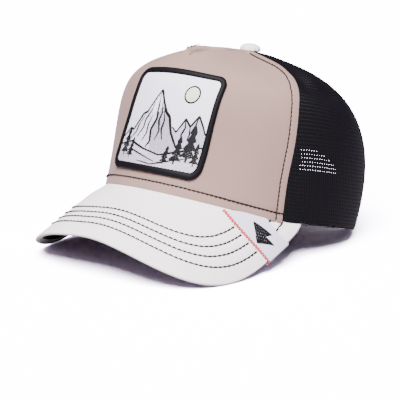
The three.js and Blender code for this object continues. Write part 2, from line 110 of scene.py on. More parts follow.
def frontEdgeTurn(rise):
    x, y = np.array(frontEdge["rise"], float), np.array(frontEdge["turn"], float)
    last = len(x) - 1
    low, high = np.maximum(np.arange(last + 1) - 1, 0), np.minimum(np.arange(last + 1) + 1, last)
    slope = (y[high] - y[low]) / (x[high] - x[low])
    k = np.clip(np.searchsorted(x, rise, side="right") - 1, 0, last - 1)
    span = x[k + 1] - x[k]
    t = np.clip((rise - x[k]) / span, 0, 1)
    stay = 2 * t**3 - 3 * t**2 + 1
    bend = (t**3 - 2 * t**2 + t) * span * slope[k] + (t**3 - t**2) * span * slope[k + 1]
    return np.radians(stay * y[k] + (1 - stay) * y[k + 1] + bend)


def rimPlan(turn):
    power = cap["rimRoundness"]
    length = np.where(np.cos(turn) > 0, cap["rimFront"], cap["rimBack"])
    side = np.abs(np.sin(turn)) / cap["rimHalfWidth"]
    reach = (side**power + (np.abs(np.cos(turn)) / length) ** power) ** (-1 / power)
    return reach * np.sin(turn), -reach * np.cos(turn)


def peakHeight(x, y):
    drop = cap["peakBend"] - np.sqrt(np.maximum(cap["peakBend"] ** 2 - x**2, 1))
    ahead = -y - cap["rimFront"]
    return cap["peakRise"] - drop - math.tan(math.radians(cap["peakSlope"])) * ahead


def rimHeight(turn):
    corner, step = math.radians(cap["peakCorner"]), 0.001
    size = np.abs(turn)
    start, before = peakHeight(*rimPlan(corner)), peakHeight(*rimPlan(corner - step))
    fall = (start - before) / step * cap["rimCornerEase"]
    span = math.radians(cap["footTurn"]) - corner
    t = np.clip((size - corner) / span, 0, 1)
    behind = (2 * t**3 - 3 * t**2 + 1) * start + (t**3 - 2 * t**2 + t) * span * fall
    return np.where(size <= corner, peakHeight(*rimPlan(size)), behind)


def meridian(turn, rise):  # distance from the apex axis, and height
    size = np.abs(turn)
    x, y = rimPlan(size)
    radius, foot = np.hypot(x, y - cap["apexBack"]), rimHeight(size)
    lean, top = np.radians(leanAt(size)), np.radians(topAt(size))
    wall, crest = wallAt(size) * (cap["apexHeight"] - foot), crestAt(size) * radius
    a, b, c, d = (1 - rise) ** 3, 3 * rise * (1 - rise) ** 2, 3 * rise**2 * (1 - rise), rise**3
    out = a * radius + b * (radius - np.sin(lean) * wall) + c * np.cos(top) * crest
    up = a * foot + b * (foot + np.cos(lean) * wall)
    up = up + c * (cap["apexHeight"] + np.sin(top) * crest) + d * cap["apexHeight"]
    return out, up


def plainCrownPoint(turn, rise):
    x, y = rimPlan(turn)
    radius = np.hypot(x, y - cap["apexBack"])
    out, up = meridian(turn, rise)
    return np.stack([out * x / radius, cap["apexBack"] + out * (y - cap["apexBack"]) / radius,
                     up + 0 * x], -1)


def normalOf(surface, turn, rise):
    step = 0.002
    high = np.minimum(rise + step, 0.995)
    low = np.maximum(high - 2 * step, 0)
    across = surface(turn + step, rise) - surface(turn - step, rise)
    return unit(np.cross(across, surface(turn, high) - surface(turn, low)))


foldPoints = plainCrownPoint(np.radians(foldPath["turn"]), np.array(foldPath["rise"]))


def dipAt(turn, rise, point):  # the pinched top seam and the soft side folds
    along = ease(rise, cap["dartStart"], cap["dartFull"])
    along = along * (1 - ease(rise, cap["dartFull"], cap["dartEnd"]))
    front = np.abs(turn) < math.pi / 2
    dart = front * cap["dartDepth"] * along * np.exp(-((point[..., 0] / cap["dartWidth"]) ** 2))
    spot = point * 1.0
    spot[..., 0] = np.abs(spot[..., 0])
    distance = np.full(spot.shape[:-1], 1e9)
    for a, b in zip(foldPoints[:-1], foldPoints[1:]):
        t = np.clip(((spot - a) @ (b - a)) / ((b - a) @ (b - a)), 0, 1)
        distance = np.minimum(distance, np.linalg.norm(spot - a - t[..., None] * (b - a), axis=-1))
    return dart + cap["foldDepth"] * np.exp(-((distance / cap["foldWidth"]) ** 2))


def crownPoint(turn, rise):
    point = plainCrownPoint(turn, rise)
    dip = dipAt(turn, rise, point)
    return point - normalOf(plainCrownPoint, turn, rise) * dip[..., None]


def crownLayer(turn, rise, depth):  # near the rim it moves level, and stands on the peak
    turn, rise, depth = np.broadcast_arrays(np.asarray(turn, float), rise, depth)
    outer, normal = crownPoint(turn, rise), normalOf(crownPoint, turn, rise)
    square = outer - normal * depth[..., None]
    inward = unit(normal * [1, 1, 0])
    level = outer - inward * depth[..., None]
    onPeak = 1 - ease(np.abs(np.degrees(turn)), cap["peakCorner"], cap["peakCorner"] + 6)
    step = peakHeight(level[..., 0], level[..., 1]) - peakHeight(outer[..., 0], outer[..., 1])
    level[..., 2] += onPeak * step
    share = ease(rise, 0, cap["footFade"])[..., None]
    return level + (square - level) * share


# Lengths up the meridians, as a table that lengthAt reads: a row for each degree of turn
riseSteps = 240
lengthTurns, lengthRises = np.radians(np.arange(0, 181.0)), np.linspace(0, 1, riseSteps + 1)
lengthOut, lengthUp = meridian(lengthTurns[:, None], lengthRises[None, :])
lengthTable = np.zeros_like(lengthOut)
lengthTable[:, 1:] = np.cumsum(np.hypot(np.diff(lengthOut), np.diff(lengthUp)), axis=1)


def lengthAt(turn, rise):
    place = np.clip(np.abs(turn) / lengthTurns[1], 0, 179.999)
    step = np.clip(rise * riseSteps, 0, riseSteps - 0.001)
    i, j = place.astype(int), step.astype(int)
    a, b = place - i, step - j
    low = lengthTable[i, j] * (1 - b) + lengthTable[i, j + 1] * b
    high = lengthTable[i + 1, j] * (1 - b) + lengthTable[i + 1, j + 1] * b
    return low * (1 - a) + high * a


def halved(low, high, steps, isShort):
    # the place between low and high where isShort stops being true
    for _ in range(steps):
        middle = (low + high) / 2
        short = isShort(middle)
        low, high = np.where(short, middle, low), np.where(short, high, middle)
    return (low + high) / 2


def riseAtLength(turn, start, length):
    goal = lengthAt(turn, start + 0.0 * turn) + length
    turn, goal = np.broadcast_arrays(np.asarray(turn, float), goal)
    return halved(np.zeros(turn.shape), np.ones(turn.shape), 24,
                  lambda rise: lengthAt(turn, rise) < goal)


def riseNearApex(turn, distance):
    turn = np.asarray(turn, float)
    return halved(np.full(turn.shape, 0.5), np.ones(turn.shape), 24,
                  lambda rise: meridian(turn, rise)[0] > distance)


def archPlace(angle, radius):  # place on the crown over a point of an arch in the back view
    x = radius * np.cos(angle)
    z = cap["archCentreHeight"] + radius * np.sin(angle)
    turn = math.pi - np.arcsin(x / cap["rimHalfWidth"])
    for _ in range(12):
        rise = halved(np.zeros(turn.shape), np.full(turn.shape, 0.6), 19,
                      lambda tried: meridian(turn, tried)[1] < z)
        turn = turn + (plainCrownPoint(turn, rise)[..., 0] - x) / cap["rimHalfWidth"]
    return turn, np.where(z <= 0, 0, rise)


def archAngle(share, radius):
    foot = -math.asin(cap["archCentreHeight"] / radius)
    return foot + share * (math.pi - 2 * foot)


swell = {"height": 2.2, "start": 12, "full": 50, "fade": 74, "end": 88, "fromRim": 14}


def peakSwell(x, y):  # the peak is a little fuller on the wearer's right
    wallX, wallY = rimPlan(np.arctan2(x, -y))
    away = np.hypot(x, y) - np.hypot(wallX, wallY)
    sideways = ease(-x, swell["start"], swell["full"]) * (1 - ease(-x, swell["fade"], swell["end"]))
    return swell["height"] * sideways * ease(away, 0, swell["fromRim"])


def peakLayer(x, y, depth):
    x, y, depth = np.broadcast_arrays(np.asarray(x, float), y, depth)
    slope = np.stack([x / np.sqrt(np.maximum(cap["peakBend"] ** 2 - x**2, 1)),
                      np.full(x.shape, -math.tan(math.radians(cap["peakSlope"]))),
                      np.ones(x.shape)], -1)
    surface = np.stack([x, y, peakHeight(x, y) + peakSwell(x, y)], -1)
    return surface - unit(slope) * depth[..., None]


cornerX, cornerY = (float(v) for v in rimPlan(math.radians(cap["peakCorner"])))
edgeFront = -(cap["rimFront"] + cap["peakReach"])
cornerShare = (1 - (cornerX / cap["peakHalfWidth"]) ** cap["peakSquareness"])
cornerShare = cornerShare ** (1 / cap["peakSquareness"])
edgeCentreY = (cornerY + cornerShare * edgeFront) / (1 + cornerShare)
edgeDepth = edgeCentreY - edgeFront
edgeEnd = math.pi / 2 + math.asin(cornerShare ** (cap["peakSquareness"] / 2))


def squaredOval(angle, halfWidth, depth, squareness):
    power = 2 / squareness
    side = np.sign(np.sin(angle)) * np.abs(np.sin(angle)) ** power
    ahead = np.sign(np.cos(angle)) * np.abs(np.cos(angle)) ** power
    return halfWidth * side, edgeCentreY - depth * ahead


def peakEdge(angle):
    return squaredOval(angle, cap["peakHalfWidth"], edgeDepth, cap["peakSquareness"])


def peakPlan(across, out, inset):
    side = 2 * across - 1
    x, y = rimPlan(side * math.radians(cap["peakCorner"]))
    back = 1 - (cap["frontThick"] + cap["gap"]) / np.hypot(x, y)
    edgeX, edgeY = peakEdge(side * edgeEnd)
    run = np.hypot(edgeX - x, edgeY - y)
    reach = np.maximum(run - inset, 0.35 * run) / np.maximum(run, 1)
    outerX, outerY = x + (edgeX - x) * reach, y + (edgeY - y) * reach
    return x * back + (outerX - x * back) * out, y * back + (outerY - y * back) * out


edgeTopTurn = math.radians(frontEdge["turn"][-1])
edgeTopRise = float(riseNearApex(edgeTopTurn, cap["apexHole"]))
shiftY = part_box("peak_top")[0].y / mm - float(peakLayer(0.0, edgeFront, cap["gap"])[1])


def toFrame(points):
    return (points + np.array([0, shiftY, 0])) * mm


# ---- making and finishing pieces ----

def selectOnly(piece):
    bpy.ops.object.select_all(action="DESELECT")
    piece.select_set(True)
    bpy.context.view_layer.objects.active = piece


def getPoints(piece):
    flat = np.empty(len(piece.data.vertices) * 3, np.float32)
    piece.data.vertices.foreach_get("co", flat)
    return flat.reshape(-1, 3).astype(float)


def setPoints(piece, points):
    flat = np.ascontiguousarray(toFrame(points), dtype=np.float32).ravel()
    piece.data.vertices.foreach_set("co", flat)
    piece.data.update()


def formGrid(name, columns, rows, place, size):
    # a grid primitive laid over a surface; its UV map is in millimetres
    bpy.ops.object.select_all(action="DESELECT")
    bpy.ops.mesh.primitive_grid_add(x_subdivisions=columns, y_subdivisions=rows, size=1)
    piece = bpy.context.object
    piece.name = piece.data.name = name
    flat = getPoints(piece) + 0.5
    setPoints(piece, place(flat[:, 0], flat[:, 1]))
    layer = piece.data.uv_layers.active.data
    spots = np.empty(len(layer) * 2, np.float32)
    layer.foreach_get("uv", spots)
    layer.foreach_set("uv", (spots.reshape(-1, 2) * size).ravel().astype(np.float32))
    return piece


def clothPiece(name, grid, place, size, wall, material, slot, *nodes):
    # a grid laid over a surface, with a thickness and rounded edges
    piece = formGrid(name, *grid, place, size)
    thicken(piece, *wall)
    smooth(piece)
    return finishPiece(piece, material, slot, *nodes)


def applyModifier(piece, modifier):
    selectOnly(piece)
    bpy.ops.object.modifier_apply(modifier=modifier.name)


def thicken(piece, thick, rounding=0.0, segments=2):
    wall = piece.modifiers.new("Wall", "SOLIDIFY")
    wall.thickness, wall.offset, wall.use_even_offset = thick * mm, -1, False
    applyModifier(piece, wall)
    if rounding:
        soft = piece.modifiers.new("Rounding", "BEVEL")
        soft.width, soft.segments, soft.limit_method = rounding * mm, segments, "ANGLE"
        soft.angle_limit = math.radians(50)
        applyModifier(piece, soft)


def smooth(piece, degrees=50):
    selectOnly(piece)
    bpy.ops.object.shade_smooth_by_angle(angle=math.radians(degrees))


def cleanUp(piece, merge=0.0, outwards=True):
    selectOnly(piece)
    bpy.ops.object.mode_set(mode="EDIT")
    bpy.ops.mesh.select_all(action="SELECT")
    if merge:
        bpy.ops.mesh.remove_doubles(threshold=merge * mm)
        bpy.ops.mesh.dissolve_degenerate(threshold=1e-6)
        bpy.ops.mesh.select_all(action="SELECT")
    if outwards:
        bpy.ops.mesh.normals_make_consistent(inside=False)
    bpy.ops.object.mode_set(mode="OBJECT")


def meshFrom(name, points, faces):
    data = bpy.data.meshes.new(name)
    data.from_pydata(toFrame(points).tolist(), [], faces)
    piece = bpy.data.objects.new(name, data)
    bpy.context.scene.collection.objects.link(piece)
    return piece


def sweepMany(name, centres, sides, ups, halfWidths, halfHeights, around=6):
    # many short threads in one mesh: centres is threads x rings x 3, closed at both ends
    threads, rings = centres.shape[:2]
    angle = 2 * math.pi * np.arange(around) / around
    wide, tall = halfWidths[..., None] * np.cos(angle), halfHeights[..., None] * np.sin(angle)
    ring = centres[:, :, None] + sides[:, :, None] * wide[..., None]
    ring = ring + ups[:, :, None] * tall[..., None]
    base = (np.arange(threads) * rings * around)[:, None, None]
    i, k = np.arange(rings - 1)[None, :, None], np.arange(around)[None, None, :]
    a = base + i * around + k
    b = base + i * around + (k + 1) % around
    quads = np.stack([a, b, b + around, a + around], -1).reshape(-1, 4).tolist()
    first = (base[:, 0] + np.arange(around)[::-1][None, :]).tolist()
    last = (base[:, 0] + (rings - 1) * around + np.arange(around)[None, :]).tolist()
    piece = meshFrom(name, ring.reshape(-1, 3), quads + first + last)
    cleanUp(piece)
    smooth(piece, 60)
    return piece


def paintPoints(piece, colours):
    layer = piece.data.color_attributes.new("threadColour", "FLOAT_COLOR", "POINT")
    full = np.ones((len(colours), 4), np.float32)
    full[:, :3] = colours
    layer.data.foreach_set("color", full.ravel())


def finishPiece(piece, material, slot, *nodes):
    piece.data.materials.clear()
    piece.data.materials.append(material)
    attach(piece, "root")
    if nodes:
        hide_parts(*nodes)
    return piece


# ---- materials ----

def linear(hexColour):
    parts = [int(hexColour[i:i + 2], 16) / 255 for i in (1, 3, 5)]
    return [c / 12.92 if c <= 0.04045 else ((c + 0.055) / 1.055) ** 2.4 for c in parts]


def rgba(hexColour):
    return (*linear(hexColour), 1)


def addNode(tree, kind, links=None, **settings):
    node = tree.nodes.new(kind)
    for name, value in settings.items():
        setattr(node, name, value)
    for name, value in (links or {}).items():
        socket = node.inputs[name]
        if isinstance(value, bpy.types.NodeSocket):
            tree.links.new(value, socket)
        else:
            socket.default_value = value
    return node


def startMaterial(name, roughness, specular, sheen=0.0, sheenTint="#ffffff", sheenRoughness=0.5):
    material = bpy.data.materials.new(name)
    material.use_nodes = True
    tree = material.node_tree
    shader = tree.nodes["Principled BSDF"]
    shader.inputs["Roughness"].default_value = roughness
    shader.inputs["Specular IOR Level"].default_value = specular
    shader.inputs["Sheen Weight"].default_value = sheen
    shader.inputs["Sheen Tint"].default_value = rgba(sheenTint)
    shader.inputs["Sheen Roughness"].default_value = sheenRoughness
    return material, tree, shader


def stretched(tree, source, scale):
    return addNode(tree, "ShaderNodeMapping", {"Vector": source, "Scale": scale}).outputs["Vector"]


def blend(tree, share, first, second, mode="MIX"):
    node = addNode(tree, "ShaderNodeMix", {"Factor": share}, data_type="RGBA", blend_type=mode)
    for socket, value in ((node.inputs[6], first), (node.inputs[7], second)):
        if isinstance(value, bpy.types.NodeSocket):
            tree.links.new(value, socket)
        else:
            socket.default_value = value
    return node.outputs[2]


def addBump(tree, shader, height, strength, distance):
    bump = addNode(tree, "ShaderNodeBump", {"Height": height, "Strength": strength,
                   "Distance": distance * mm})
    tree.links.new(bump.outputs["Normal"], shader.inputs["Normal"])


def wovenCloth(name, spec):
    # plain or twill weave: matt, with warp and weft lines, slubs and slow tone changes; the base
    # colour is also darkened along the weave's hollows, which is painted shade
    material, tree, shader = startMaterial(name, spec["roughness"], spec["specular"], spec["sheen"],
                                           spec["sheenTint"])
    if spec["onUv"]:  # UV maps are in millimetres, object coordinates in metres
        place, unitScale = addNode(tree, "ShaderNodeUVMap").outputs["UV"], 1
    else:
        place, unitScale = addNode(tree, "ShaderNodeTexCoord").outputs["Object"], 1000
    bands = 0.314 / spec["thread"] * unitScale  # one band of the wave node for each thread
    warp, weft = (addNode(tree, "ShaderNodeTexWave", {"Vector": place, "Scale": bands,
                          "Distortion": 0.6, "Detail": 1.0, "Detail Scale": 0.6},
                          wave_type="BANDS", bands_direction=direction)
                  for direction in ("X", "DIAGONAL" if spec["twill"] else "Y"))
    weave = addNode(tree, "ShaderNodeMath", {0: warp.outputs["Fac"], 1: weft.outputs["Fac"]},
                    operation="MULTIPLY")
    slow = addNode(tree, "ShaderNodeTexNoise", {"Vector": place, "Scale": 0.03 * unitScale,
                   "Detail": 2.0})
    slubs = addNode(tree, "ShaderNodeTexNoise", {"Vector": stretched(tree, place, (0.25, 1.6, 1)),
                    "Scale": 0.7 * unitScale, "Detail": 3.0, "Roughness": 0.6})
    slubLine = addNode(tree, "ShaderNodeMapRange", {"Value": slubs.outputs["Fac"], "From Min": 0.56,
                       "From Max": 0.74})
    shade = blend(tree, slow.outputs["Fac"], rgba(spec["dark"]), rgba(spec["light"]))
    shade = blend(tree, addNode(tree, "ShaderNodeMath", {0: slubLine.outputs[0], 1: spec["slub"]},
                  operation="MULTIPLY").outputs[0], shade, rgba(spec["slubColour"]))
    # painted shade: the weave's hollows darken the base colour by up to the spec's depth
    dim = addNode(tree, "ShaderNodeMapRange", {"Value": weave.outputs[0],
                  "To Min": 1 - spec["depth"], "To Max": 1.0})
    shade = blend(tree, 1.0, shade, dim.outputs[0], "MULTIPLY")
    tree.links.new(shade, shader.inputs["Base Color"])
    relief = addNode(tree, "ShaderNodeMath", {0: weave.outputs[0], 1: slubs.outputs["Fac"]},
                     operation="ADD")
    addBump(tree, shader, relief.outputs[0], spec["bump"], 0.15)
    return material


plainCotton = {  # what the cloths share: a plain weave, matt
    "thread": 0.7,  # real thread spacing is about 0.4 mm, drawn coarser so that it shows
    "twill": False, "onUv": True, "slub": 0.2, "specular": 0.2, "sheen": 0.1,
    "sheenTint": "#ffffff",
}
frontCloth = wovenCloth("GreigeCottonTwill", plainCotton | {  # cotton drill over foam, faint slubs
    "light": "#997d76", "dark": "#8f736b", "slubColour": "#856e67", "slub": 0.35,
    "depth": 0.07, "bump": 0.25, "roughness": 0.93, "sheen": 0.12, "sheenTint": "#efe6ea",
})
peakCloth = wovenCloth("WhiteCottonTwill", plainCotton | {  # bleached cotton, slightly warm
    "light": "#f7efee", "dark": "#f0e7e7", "slubColour": "#ded5d6",
    "depth": 0.04, "bump": 0.18, "roughness": 0.92,
})
underCloth = wovenCloth("DarkCottonTwill", plainCotton | {  # dyed cotton: very dark, dry
    "light": "#3d2f36", "dark": "#32272d", "slubColour": "#4a3b42", "slub": 0.3,
    "depth": 0.2, "bump": 0.3, "roughness": 0.9, "sheen": 0.15, "sheenTint": "#8d7f8c",
})
ribbonCloth = wovenCloth("GreyPolyesterRibbon", plainCotton | {  # smooth ribbon: a faint gloss
    "light": "#dbd4e6", "dark": "#d1cade", "slubColour": "#c1b9cf", "slub": 0.15,
    "thread": 0.6, "depth": 0.05, "bump": 0.15, "roughness": 0.7, "specular": 0.35,
})
bandCloth = wovenCloth("BlackTwillTape", plainCotton | {  # black tape with fine slanting ribs
    "light": "#4c464f", "dark": "#3e3941", "slubColour": "#5b5460", "slub": 0.4,
    "thread": 0.9, "twill": True, "depth": 0.35, "bump": 0.5,
    "roughness": 0.85, "specular": 0.25, "sheen": 0.2, "sheenTint": "#9a929f",
})
patchCloth = wovenCloth("PatchTwillGround", plainCotton | {  # dense ground: cool white, satin
    "light": "#f6f1ff", "dark": "#eee8fd", "slubColour": "#d9d1e8",
    "thread": 0.8, "twill": True, "depth": 0.08, "bump": 0.4, "roughness": 0.6, "specular": 0.35,
})
buttonCloth = wovenCloth("ButtonCotton", plainCotton | {  # the peak's cotton over a button
    "light": "#f1eeee", "dark": "#e8e4e4", "slubColour": "#d5cfd0",
    "onUv": False, "depth": 0.05, "bump": 0.2, "roughness": 0.9,
})


def spunThread(name, spec):
    # sewing or embroidery thread: twisted plies with a soft gloss along them
    material, tree, shader = startMaterial(name, spec["roughness"], spec["specular"], spec["sheen"])
    place = addNode(tree, "ShaderNodeTexCoord").outputs["Object"]
    fibre = addNode(tree, "ShaderNodeTexNoise", {"Vector": place, "Scale": 1400.0, "Detail": 2.0})
    if spec["colour"]:
        shade = blend(tree, fibre.outputs["Fac"], rgba(spec["colour"]), rgba(spec["second"]))
    else:
        own = addNode(tree, "ShaderNodeVertexColor", layer_name="threadColour").outputs["Color"]
        dim = addNode(tree, "ShaderNodeMapRange", {"Value": fibre.outputs["Fac"],
                      "To Min": 0.86, "To Max": 1.08})
        shade = blend(tree, 1.0, own, dim.outputs[0], "MULTIPLY")
    tree.links.new(shade, shader.inputs["Base Color"])
    addBump(tree, shader, fibre.outputs["Fac"], 0.3, 0.08)
    return material


seamThread = spunThread("DarkBrownSewingThread", {"colour": "#130c0d", "second": "#20151a",
                        "roughness": 0.6, "specular": 0.2, "sheen": 0.0})
peakThread = spunThread("BlackSewingThread", {"colour": "#161317", "second": "#252126",
                        "roughness": 0.6, "specular": 0.2, "sheen": 0.0})
# painted shade: this dark thread, laid nearly unbroken in the pleat's crease, stands in for the
# crease's shade line as well as for a seam thread
pleatThreadAndCreaseShade = spunThread("GreigeThreadAndCreaseShade", {"colour": "#5d4b47", "second": "#6d5954",
                         "roughness": 0.8, "specular": 0.1, "sheen": 0.0})
redThread = spunThread("RedSewingThread", {"colour": "#bf0a22", "second": "#cf2038",
                       "roughness": 0.55, "specular": 0.2, "sheen": 0.0})
borderThread = spunThread("BlackSatinThread", {"colour": "#060508", "second": "#0f0d12",
                          "roughness": 0.6, "specular": 0.12, "sheen": 0.0})
pictureThread = spunThread("RayonEmbroideryThread", {"colour": None, "second": None,
                           "roughness": 0.55, "specular": 0.2, "sheen": 0.03})


def knittedNet(name, spec):
    # knitted polyester net: near black, the yarn's loops catch a soft violet-grey gloss
    material, tree, shader = startMaterial(name, spec["roughness"], spec["specular"], spec["sheen"],
                                           spec["sheenTint"], 0.35)
    place = addNode(tree, "ShaderNodeTexCoord").outputs["Object"]
    yarn = addNode(tree, "ShaderNodeTexNoise", {"Vector": place, "Scale": 1100.0, "Detail": 3.0})
    shade = blend(tree, yarn.outputs["Fac"], rgba(spec["dark"]), rgba(spec["light"]))
    tree.links.new(shade, shader.inputs["Base Color"])
    addBump(tree, shader, yarn.outputs["Fac"], 0.5, 0.2)
    return material


netYarn = knittedNet("BlackPolyesterNet", {"dark": "#030204", "light": "#0b090f", "roughness": 0.5,
                     "specular": 0.2, "sheen": 0.02, "sheenTint": "#8f7fa6"})
strapPlastic = knittedNet("BlackMouldedPolyethylene", {"dark": "#151417", "light": "#1b1a1d",
                          "roughness": 0.4, "specular": 0.45, "sheen": 0.0, "sheenTint": "#ffffff"})
print("materials ready")


# ---- camera, light and floor ----

view = {"azimuth": 40.148, "elevation": 13.917, "distance": 1374.468, "lens": 166.503,
        "right": -24.833, "up": 24.671}


def addCamera():
    a, e = math.radians(view["azimuth"]), math.radians(view["elevation"])
    back = Vector((math.sin(a) * math.cos(e), -math.cos(a) * math.cos(e), math.sin(e)))
    right = Vector((math.cos(a), math.sin(a), 0))
    up = back.cross(right)
    target = (right * view["right"] + up * view["up"] + Vector((0, shiftY, 0))) * mm
    place = target + back * view["distance"] * mm
    bpy.ops.object.camera_add()
    camera = bpy.context.object
    camera.matrix_world = Matrix(((right.x, up.x, back.x, place.x),
                                  (right.y, up.y, back.y, place.y),
                                  (right.z, up.z, back.z, place.z), (0, 0, 0, 1)))
    camera.data.lens, camera.data.sensor_width = view["lens"], 36
    camera.data.clip_start, camera.data.clip_end = 0.05, 30
    bpy.context.scene.camera = camera


studio = {"key": 13.7, "keySpread": 36, "keyTilt": 36, "keySide": 30,
          "broad": 0.45, "broadSpread": 120, "broadTilt": 10, "broadSide": 40,
          "air": 0.085, "airColour": "#c3aede",
          "background": 16, "floor": "#f2e9fa", "floorLift": 5.0, "floorBounce": 0.22}


def addSun(name, strength, spread, tilt, side):
    bpy.ops.object.light_add(type="SUN", location=(0, -1, 2))
    sun = bpy.context.object
    sun.name = name
    sun.data.energy, sun.data.angle = strength, math.radians(spread)
    a, e = math.radians(side), math.radians(90 - tilt)
    towards = Vector((math.sin(a) * math.cos(e), -math.cos(a) * math.cos(e), math.sin(e)))
    sun.rotation_euler = towards.to_track_quat("Z", "Y").to_euler()


def showToCamera(tree, lighting, shown, output):
    # one shader lights the hat, the other is what the camera sees
    ray = addNode(tree, "ShaderNodeLightPath")
    both = addNode(tree, "ShaderNodeMixShader", {0: ray.outputs["Is Camera Ray"],
                   1: lighting.outputs[0], 2: shown.outputs[0]})
    tree.links.new(both.outputs[0], tree.nodes[output].inputs["Surface"])


def addStudio():
    addSun("keyLight", studio["key"], studio["keySpread"], studio["keyTilt"], studio["keySide"])
    addSun("broadLight", studio["broad"], studio["broadSpread"], studio["broadTilt"],
           studio["broadSide"])
    world = bpy.data.worlds.new("studioAir")
    bpy.context.scene.world = world
    world.use_nodes = True
    tree = world.node_tree
    seen = addNode(tree, "ShaderNodeBackground", {"Color": rgba("#ffffff"),
                   "Strength": studio["background"]})
    lit = addNode(tree, "ShaderNodeBackground", {"Color": rgba(studio["airColour"]),
                  "Strength": studio["air"]})
    showToCamera(tree, lit, seen, "World Output")
    bpy.ops.object.select_all(action="DESELECT")
    bpy.ops.mesh.primitive_plane_add(size=12, location=(0, 0, -0.0002))
    floor = bpy.context.object
    floor.name = "studioFloor"
    material, tree, shader = startMaterial("PaleStudioFloor", 0.9, 0.0)
    tint = np.array(linear(studio["floor"]))
    plain, lifted = (addNode(tree, "ShaderNodeBsdfDiffuse", {"Color": (*(tint * share), 1)})
                     for share in (studio["floorBounce"], studio["floorLift"]))
    showToCamera(tree, plain, lifted, "Material Output")
    floor.data.materials.append(material)
    floor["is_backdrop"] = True


addCamera()
addStudio()
print("camera and studio ready")


# ---- stitches ----

threadShares = np.linspace(0, 1, 5)  # the rings of a stitch, from end to end


def lengthsAlong(points):
    return np.concatenate([[0], np.cumsum(np.linalg.norm(np.diff(points, axis=0), axis=1))])


def readAlong(spots, run, values):
    return np.stack([np.interp(spots, run, values[:, k]) for k in range(values.shape[1])], -1)


def stitchRun(name, runs, spec, material, slot):
    # runs is a list of (points, normals) lines; every stitch dips into the cloth at both ends
    centres, sides, ups = [], [], []
    for points, normals in runs:
        run = lengthsAlong(points)
        total = run[-1]
        count = max(int(total / spec["pitch"]), 1)
        starts = (np.arange(count) + 0.5 * (1 - spec["length"] / spec["pitch"])) * total / count
        length = total / count * spec["length"] / spec["pitch"]
        spots = (starts[:, None] + length * threadShares[None, :]).ravel()
        middle = readAlong(spots, run, points).reshape(count, 5, 3)
        up = unit(readAlong(spots, run, normals).reshape(count, 5, 3))
        along = unit(np.gradient(middle, axis=1))
        side = unit(np.cross(along, up))
        wobble = rng.normal(0, spec["wobble"], (count, 1, 1)) * side
        lift = (np.sin(math.pi * threadShares) * 1.1 - 0.55) * spec["width"] / 2 + spec["lift"]
        centres.append(middle + wobble + up * lift[None, :, None])
        sides.append(side)
        ups.append(up)
    centres, sides, ups = (np.concatenate(part) for part in (centres, sides, ups))
    taper = np.array([0.68, 0.95, 1, 0.95, 0.68]) * spec["width"] / 2
    taper = np.tile(taper, (len(centres), 1))
    piece = sweepMany(name, centres, sides, ups, taper, taper * 0.8)
    return finishPiece(piece, material, slot)


def crownRun(turn, rise, depth=0.0):
    points = crownLayer(turn, rise, depth)
    return points, normalOf(crownPoint, turn, rise)


# ---- front panel ----

frontLook = {"awayRise": [0, 0.2, 0.4, 0.54, 0.66, 0.8, 1],
             "away": [5.4, 6.5, 6.8, 7.6, 6.8, 6.2, 5],
             "rimStitch": 6.3, "foldRise": 0.35, "rimFoldShare": 0.6, "foldStep": (-0.8, 0.4),
             "groove": 0.35, "grooveWidth": 0.7,
             "pucker": 0.07, "puckerWidth": 2.2, "sidePucker": 7, "rimPucker": 7.5, "waves": 0.25}


topSeam = {  # the pleat at the top centre: its crease in plan, and how far it stands out
    "y": [-55.4, -45.1, -39, -32.5, -26.5, -19.5, -1],
    "x": [4.7, -0.9, -2.4, -1.4, 1, 5.8, 6.2],
    "begins": (-58, -50),
    "flap": 1.7, "flapEdge": (-0.4, 0.5), "flapFarEdge": (5.0, 8.5), "flapEnds": (-26, 6),
    "crease": 1.2, "creaseAside": 0.4, "creaseWidth": 0.95, "creaseEnds": (2, 14),
    "shadeThreadAside": 0.35, "shadeThreadEnd": -8}
dartStitch = {"turn": [-5.4, -8.2], "fromApex": [67, 52], "sunk": 0.15}


def placeOver(x, y):  # turn and rise of a place on the crown's top, from its plan
    turns = np.radians(np.arange(-120, 120.5, 0.5))
    rimX, rimY = rimPlan(turns)
    ways = np.arctan2(rimX, cap["apexBack"] - rimY)
    turn = np.interp(np.arctan2(x, cap["apexBack"] - y), ways, turns)
    return turn, riseNearApex(turn, np.hypot(x, y - cap["apexBack"]))


def seamLine(y):  # the crease as a smooth curve
    steps = (-5, -2.5, 0, 2.5, 5)
    return sum(np.interp(y + step, topSeam["y"], topSeam["x"]) for step in steps) / len(steps)


def seamAway(rise):  # distance of the side stitches from the panel's edge
    return np.interp(rise, frontLook["awayRise"], frontLook["away"])


